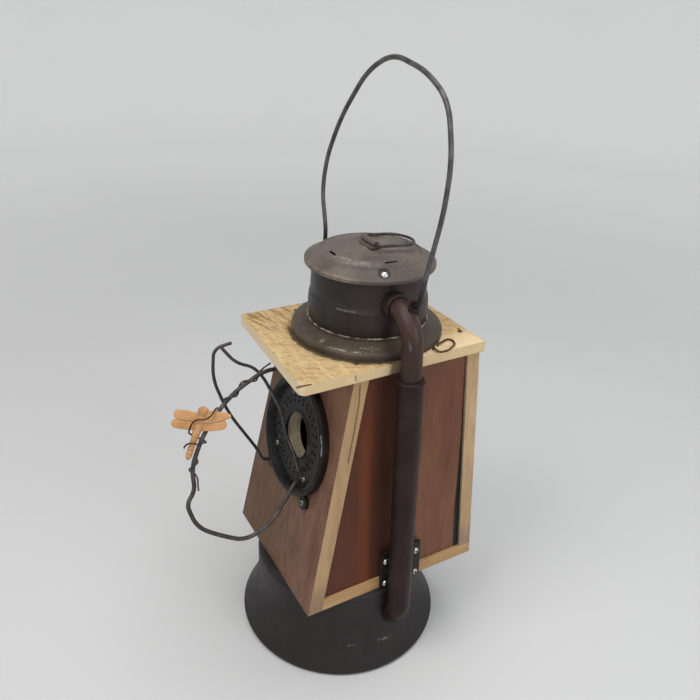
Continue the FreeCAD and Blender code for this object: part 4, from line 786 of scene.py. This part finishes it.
DRAGONFLY_AZIMUTH = 59
DRAGONFLY_TILT = 53
DRAGONFLY_ROLL = -14


def turned(degrees, axis):
    """A turn about one axis."""
    return Matrix.Rotation(math.radians(degrees), 4, axis)


def dragonfly_place():
    """x along the right wings, y towards the head, z out of its back."""
    turn = turned(DRAGONFLY_AZIMUTH, "Z") @ turned(DRAGONFLY_TILT, "X")
    return Matrix.Translation(DRAGONFLY) @ turn @ turned(DRAGONFLY_ROLL, "Z")


def body_radius(share):
    """The body's radius from the head (0) to the tail (1): head, neck, thorax and a ringed tail."""
    stops = ((0, 0.0), (0.025, 0.9), (0.07, 1.3), (0.12, 1.2), (0.19, 0.84), (0.27, 1.08), (0.38, 1.15),
             (0.47, 0.95), (0.56, 0.78), (0.75, 0.72), (0.9, 0.74), (0.96, 0.54), (1, 0.0))
    for (start, low), (end, high) in zip(stops, stops[1:]):
        if share <= end:
            part = (share - start) / (end - start)
            part = part * part * (3 - 2 * part)
            return BODY_RADIUS * (low + (high - low) * part)
    return 0.0


def carve_body(carving):
    """The body from head to tail, with rings cut into the tail."""
    def at(row, column):
        angle = 2 * math.pi * column
        groove = 0.0
        if row > 0.5:
            groove = max(0.0, math.cos(2 * math.pi * (row - 0.5) * TAIL_RINGS)) ** 6
        radius = body_radius(row) * (1 - 0.1 * groove)
        along = HEAD_REACH - row * BODY_LENGTH * 1.036
        return (radius * math.cos(angle), along, 0.92 * radius * math.sin(angle)), groove

    carving.grid(72, 20, at)


def carve_eyes(carving):
    """Two small balls on the head."""
    for side in (-1, 1):
        def at(row, column):
            polar = math.pi * row
            angle = 2 * math.pi * column
            x, y, z = EYE_PLACE
            place = (side * x + EYE_RADIUS * math.sin(polar) * math.cos(angle),
                     y + EYE_RADIUS * math.sin(polar) * math.sin(angle),
                     z + EYE_RADIUS * math.cos(polar))
            return place, 0.0

        carving.grid(8, 12, at)


def carve_wing(carving, level, root, heading, length, broad, taper):
    """A broad petal with a blunt tip, thin at its edge, with three faint carved veins.

    root is a share of the body's length, broad a factor on the width and taper what it loses towards the tip.
    """
    turn = Matrix.Translation((0, root * BODY_LENGTH, level)) @ turned(heading, "Z")

    def at(row, column):
        angle = 2 * math.pi * column
        across = math.cos(angle)
        swell = broad * (0.86 + 0.18 * math.sin(math.pi * row ** 0.85)) - taper * row
        half = WING_WIDTH / 2 * swell * (1 - row ** 14) ** 0.5
        vein = sum(math.exp(-((across - middle) / 0.09) ** 2) for middle in (-0.5, 0.0, 0.5))
        vein *= 0.45 * min(1.0, 5 * row) * (1 - row ** 6)
        rim = max(0.0, abs(across) - 0.9) / 0.1
        upper = math.sin(angle) >= 0
        thick = WING_THICKNESS / 2 * abs(math.sin(angle)) ** 0.55 * (1 - 0.35 * row) * (1 - row ** 12)
        lift = thick - 0.16 * MM * vein if upper else -thick
        return turn @ Vector((row * length, across * half, lift)), max(vein, 0.55 * rim) if upper else 0.0

    carving.grid(30, 48, at)


def build_dragonfly():
    """The carved dragonfly, in place of its plain solid."""
    carving = Carving()
    carve_body(carving)
    carve_eyes(carving)
    for count, wing in enumerate(WINGS):
        carve_wing(carving, WING_LEVELS[count % 2], **wing)
    wood = nodes["dragonfly"].data.materials[0]
    carved = carving.piece("dragonfly_carved", dragonfly_place(), wood, "lantern")
    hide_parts("dragonfly")


PLATE_SCREW_ANGLES = (-49, 118, 221)
PLATE_SCREW_SEAT = (33.4 * MM, 0, 1.4 * MM)
LUG_ANGLE = -55
LUG_SEAT = (PLATE_RADIUS + 0.75 * 5.5 * MM, 0, 3 * MM)
BRACKET_MIDDLE = 16.7 * MM
BRACKET_FOOT = HOUSE_FOOT + 0.4 * MM
BRACKET_PLATE = 2 * MM
BRACKET_ACROSS = {"front": -13.5 * MM, "back": 13.5 * MM}
BRACKET_UP = {"low": 4 * MM, "high": 25 * MM}


def screw_places():
    """A name and a frame for each screw, with z out of its head and the origin under the dome."""
    for count, angle in enumerate(PLATE_SCREW_ANGLES):
        yield f"plate_{count}", PLATE @ turned(angle, "Z") @ Matrix.Translation(PLATE_SCREW_SEAT)
    yield "lug", PLATE @ turned(LUG_ANGLE, "Z") @ Matrix.Translation(LUG_SEAT)
    lean = math.atan(SIDE_SLOPE)
    for mirror in (1, -1):
        foot = Vector((mirror * HOUSE_FOOT_HALF, BRACKET_MIDDLE, BRACKET_FOOT))
        out = Matrix.Translation(foot) @ Matrix.Rotation(-mirror * lean, 4, "Y")
        side = "right" if mirror > 0 else "left"
        for place, across in BRACKET_ACROSS.items():
            for level, up in BRACKET_UP.items():
                seat = Matrix.Translation((mirror * BRACKET_PLATE, across, up))
                yield f"{side}_{place}_{level}", out @ seat @ turned(mirror * 90, "Y")
    yield "lid", lid_screw_place()


RECESS_HALF = 0.32 * MM
RECESS_REACH = 1.55 * MM
RECESS_LIFT = 0.04 * MM
RECESS_STEPS = 6
RECESS_TURN = 0.4
RECESS_TURN_BY_NAME = 1.1


def build_recesses():
    """The cross cut for a driver in each screw's domed head, as a dark inlay just over the dome, coloured
    with the cut's painted shade.

    The length of a screw's name turns its cross, so that they stand at different angles.
    """
    dark = recess_shade_and_grit()
    for name, place in screw_places():
        verts = []
        faces = []
        twist = Matrix.Rotation(RECESS_TURN + RECESS_TURN_BY_NAME * len(name), 4, "Z")
        for quarter in range(2):
            turn = place @ twist @ Matrix.Rotation(quarter * math.pi / 2, 4, "Z")
            first = len(verts)
            for count in range(2 * RECESS_STEPS + 1):
                along = RECESS_REACH * (count / RECESS_STEPS - 1)
                for across in (-RECESS_HALF, RECESS_HALF):
                    share = (along ** 2 + across ** 2) / SCREW_HEAD_RADIUS ** 2
                    height = SCREW_HEAD * math.sqrt(1 - share) + RECESS_LIFT
                    verts.append(turn @ Vector((along, across, height)))
            for count in range(2 * RECESS_STEPS):
                corner = first + 2 * count
                faces.append((corner, corner + 2, corner + 3, corner + 1))
        mesh_piece(f"screw_recess_{name}", verts, faces, dark, "lantern")


build_dragonfly()
build_recesses()


# Floor, backdrop, light and camera


FLOOR_RINGS = (0.5, 1.2)
COVE_RADIUS = 1.9
COVE_BEND = 0.4
COVE_HEIGHT = 1.4
COVE_STEPS = 12
COVE_SIDES = 96
GLOW_START = 0.5
FAR_GLOW = 0.27


def pale_cove():
    """Plain pale paint with a painted glow, seen by the camera and in reflections, that makes it paler far
    from the object, where the lamps give little light.
    """
    s = Shader("pale_cove")
    pale = s.ramp(s.noise(0.6, detail=2), (0.3, 0.63), (0.7, 0.605))
    path = s.add("ShaderNodeLightPath").outputs
    seen = s.strongest(path["Is Camera Ray"], path["Is Glossy Ray"], path["Is Transmission Ray"])
    # Painted light: the backdrop glows more the farther it is from the object.
    far = s.step(s.vector("LENGTH", s.place, output="Value"), GLOW_START, COVE_RADIUS)
    return s.finish(pale, 0.8, specular=0.1, glow=s.times(seen, far, FAR_GLOW))


def backdrop():
    """A round floor that curves up into a wall, farther out than every viewpoint and lamp."""
    rows = [(radius, 0.0) for radius in (*FLOOR_RINGS, COVE_RADIUS)]
    for step in range(1, COVE_STEPS + 1):
        angle = math.pi / 2 * step / COVE_STEPS
        rows.append((COVE_RADIUS + COVE_BEND * math.sin(angle), COVE_BEND * (1 - math.cos(angle))))
    rows.append((COVE_RADIUS + COVE_BEND, COVE_HEIGHT))
    verts = [(0.0, 0.0, 0.0)]
    for radius, height in rows:
        for step in range(COVE_SIDES):
            angle = 2 * math.pi * step / COVE_SIDES
            verts.append((radius * math.cos(angle), radius * math.sin(angle), height))
    faces = [(0, 1 + step, 1 + (step + 1) % COVE_SIDES) for step in range(COVE_SIDES)]
    for row in range(len(rows) - 1):
        inner = 1 + row * COVE_SIDES
        outer = inner + COVE_SIDES
        for step in range(COVE_SIDES):
            after = (step + 1) % COVE_SIDES
            faces.append((inner + step, outer + step, outer + after, inner + after))
    mesh = bpy.data.meshes.new("backdrop")
    mesh.from_pydata(verts, [], faces)
    mesh.shade_smooth()
    obj = bpy.data.objects.new("backdrop", mesh)
    bpy.context.scene.collection.objects.link(obj)
    mesh.materials.append(pale_cove())


def area_light(name, at, towards, size, power, colour=(1, 1, 1)):
    """A round lamp at a place, turned towards a point of the object."""
    data = bpy.data.lights.new(name, "AREA")
    data.shape = "DISK"
    data.size = size
    data.energy = power
    data.color = colour
    lamp = bpy.data.objects.new(name, data)
    lamp.location = at
    lamp.rotation_euler = (Vector(towards) - Vector(at)).to_track_quat("-Z", "Y").to_euler()
    bpy.context.scene.collection.objects.link(lamp)


CAMERA_PLACE = (0.39337, -0.23212, 0.48781)
CAMERA_RIGHT = Vector((0.4913, 0.8701, 0.0402))
CAMERA_UP = Vector((-0.4222, 0.1975, 0.8847))
SENSOR = 36
FOCAL_PIXELS = 706.31
PHOTO_PIXELS = 700


def photo_camera():
    """The photograph's viewpoint, fitted to the foot, the lid and the corners of the house."""
    turn = Matrix((CAMERA_RIGHT, CAMERA_UP, CAMERA_RIGHT.cross(CAMERA_UP))).transposed()
    data = bpy.data.cameras.new("photo_camera")
    data.sensor_width = SENSOR
    data.lens = SENSOR * FOCAL_PIXELS / PHOTO_PIXELS
    camera = bpy.data.objects.new("photo_camera", data)
    camera.matrix_world = Matrix.Translation(CAMERA_PLACE) @ turn.to_4x4()
    bpy.context.scene.collection.objects.link(camera)
    bpy.context.scene.camera = camera


HOUSE_MIDDLE = (0, 0, 0.2)
HOUSE_TOP = (0, 0, 0.25)
backdrop()
area_light("key", (0.2, -1.0, 1.5), HOUSE_MIDDLE, size=0.8, power=10.5, colour=(1, 0.97, 0.93))
area_light("fill", (1.4, 0.5, 0.9), HOUSE_MIDDLE, size=1.0, power=8, colour=(0.93, 0.97, 1))
area_light("top", (0.1, 0.1, 1.9), HOUSE_MIDDLE, size=1.4, power=17)
area_light("window", (0.9, -0.75, 0.95), HOUSE_TOP, size=0.12, power=1.6, colour=(0.9, 0.95, 1))
world = bpy.data.worlds.new("studio")
bpy.context.scene.world = world
world.use_nodes = True
sky = world.node_tree.nodes["Background"].inputs
sky["Color"].default_value = (0.9, 0.92, 0.95, 1)
sky["Strength"].default_value = 0.3
bpy.context.scene.view_settings.view_transform = "Standard"
photo_camera()
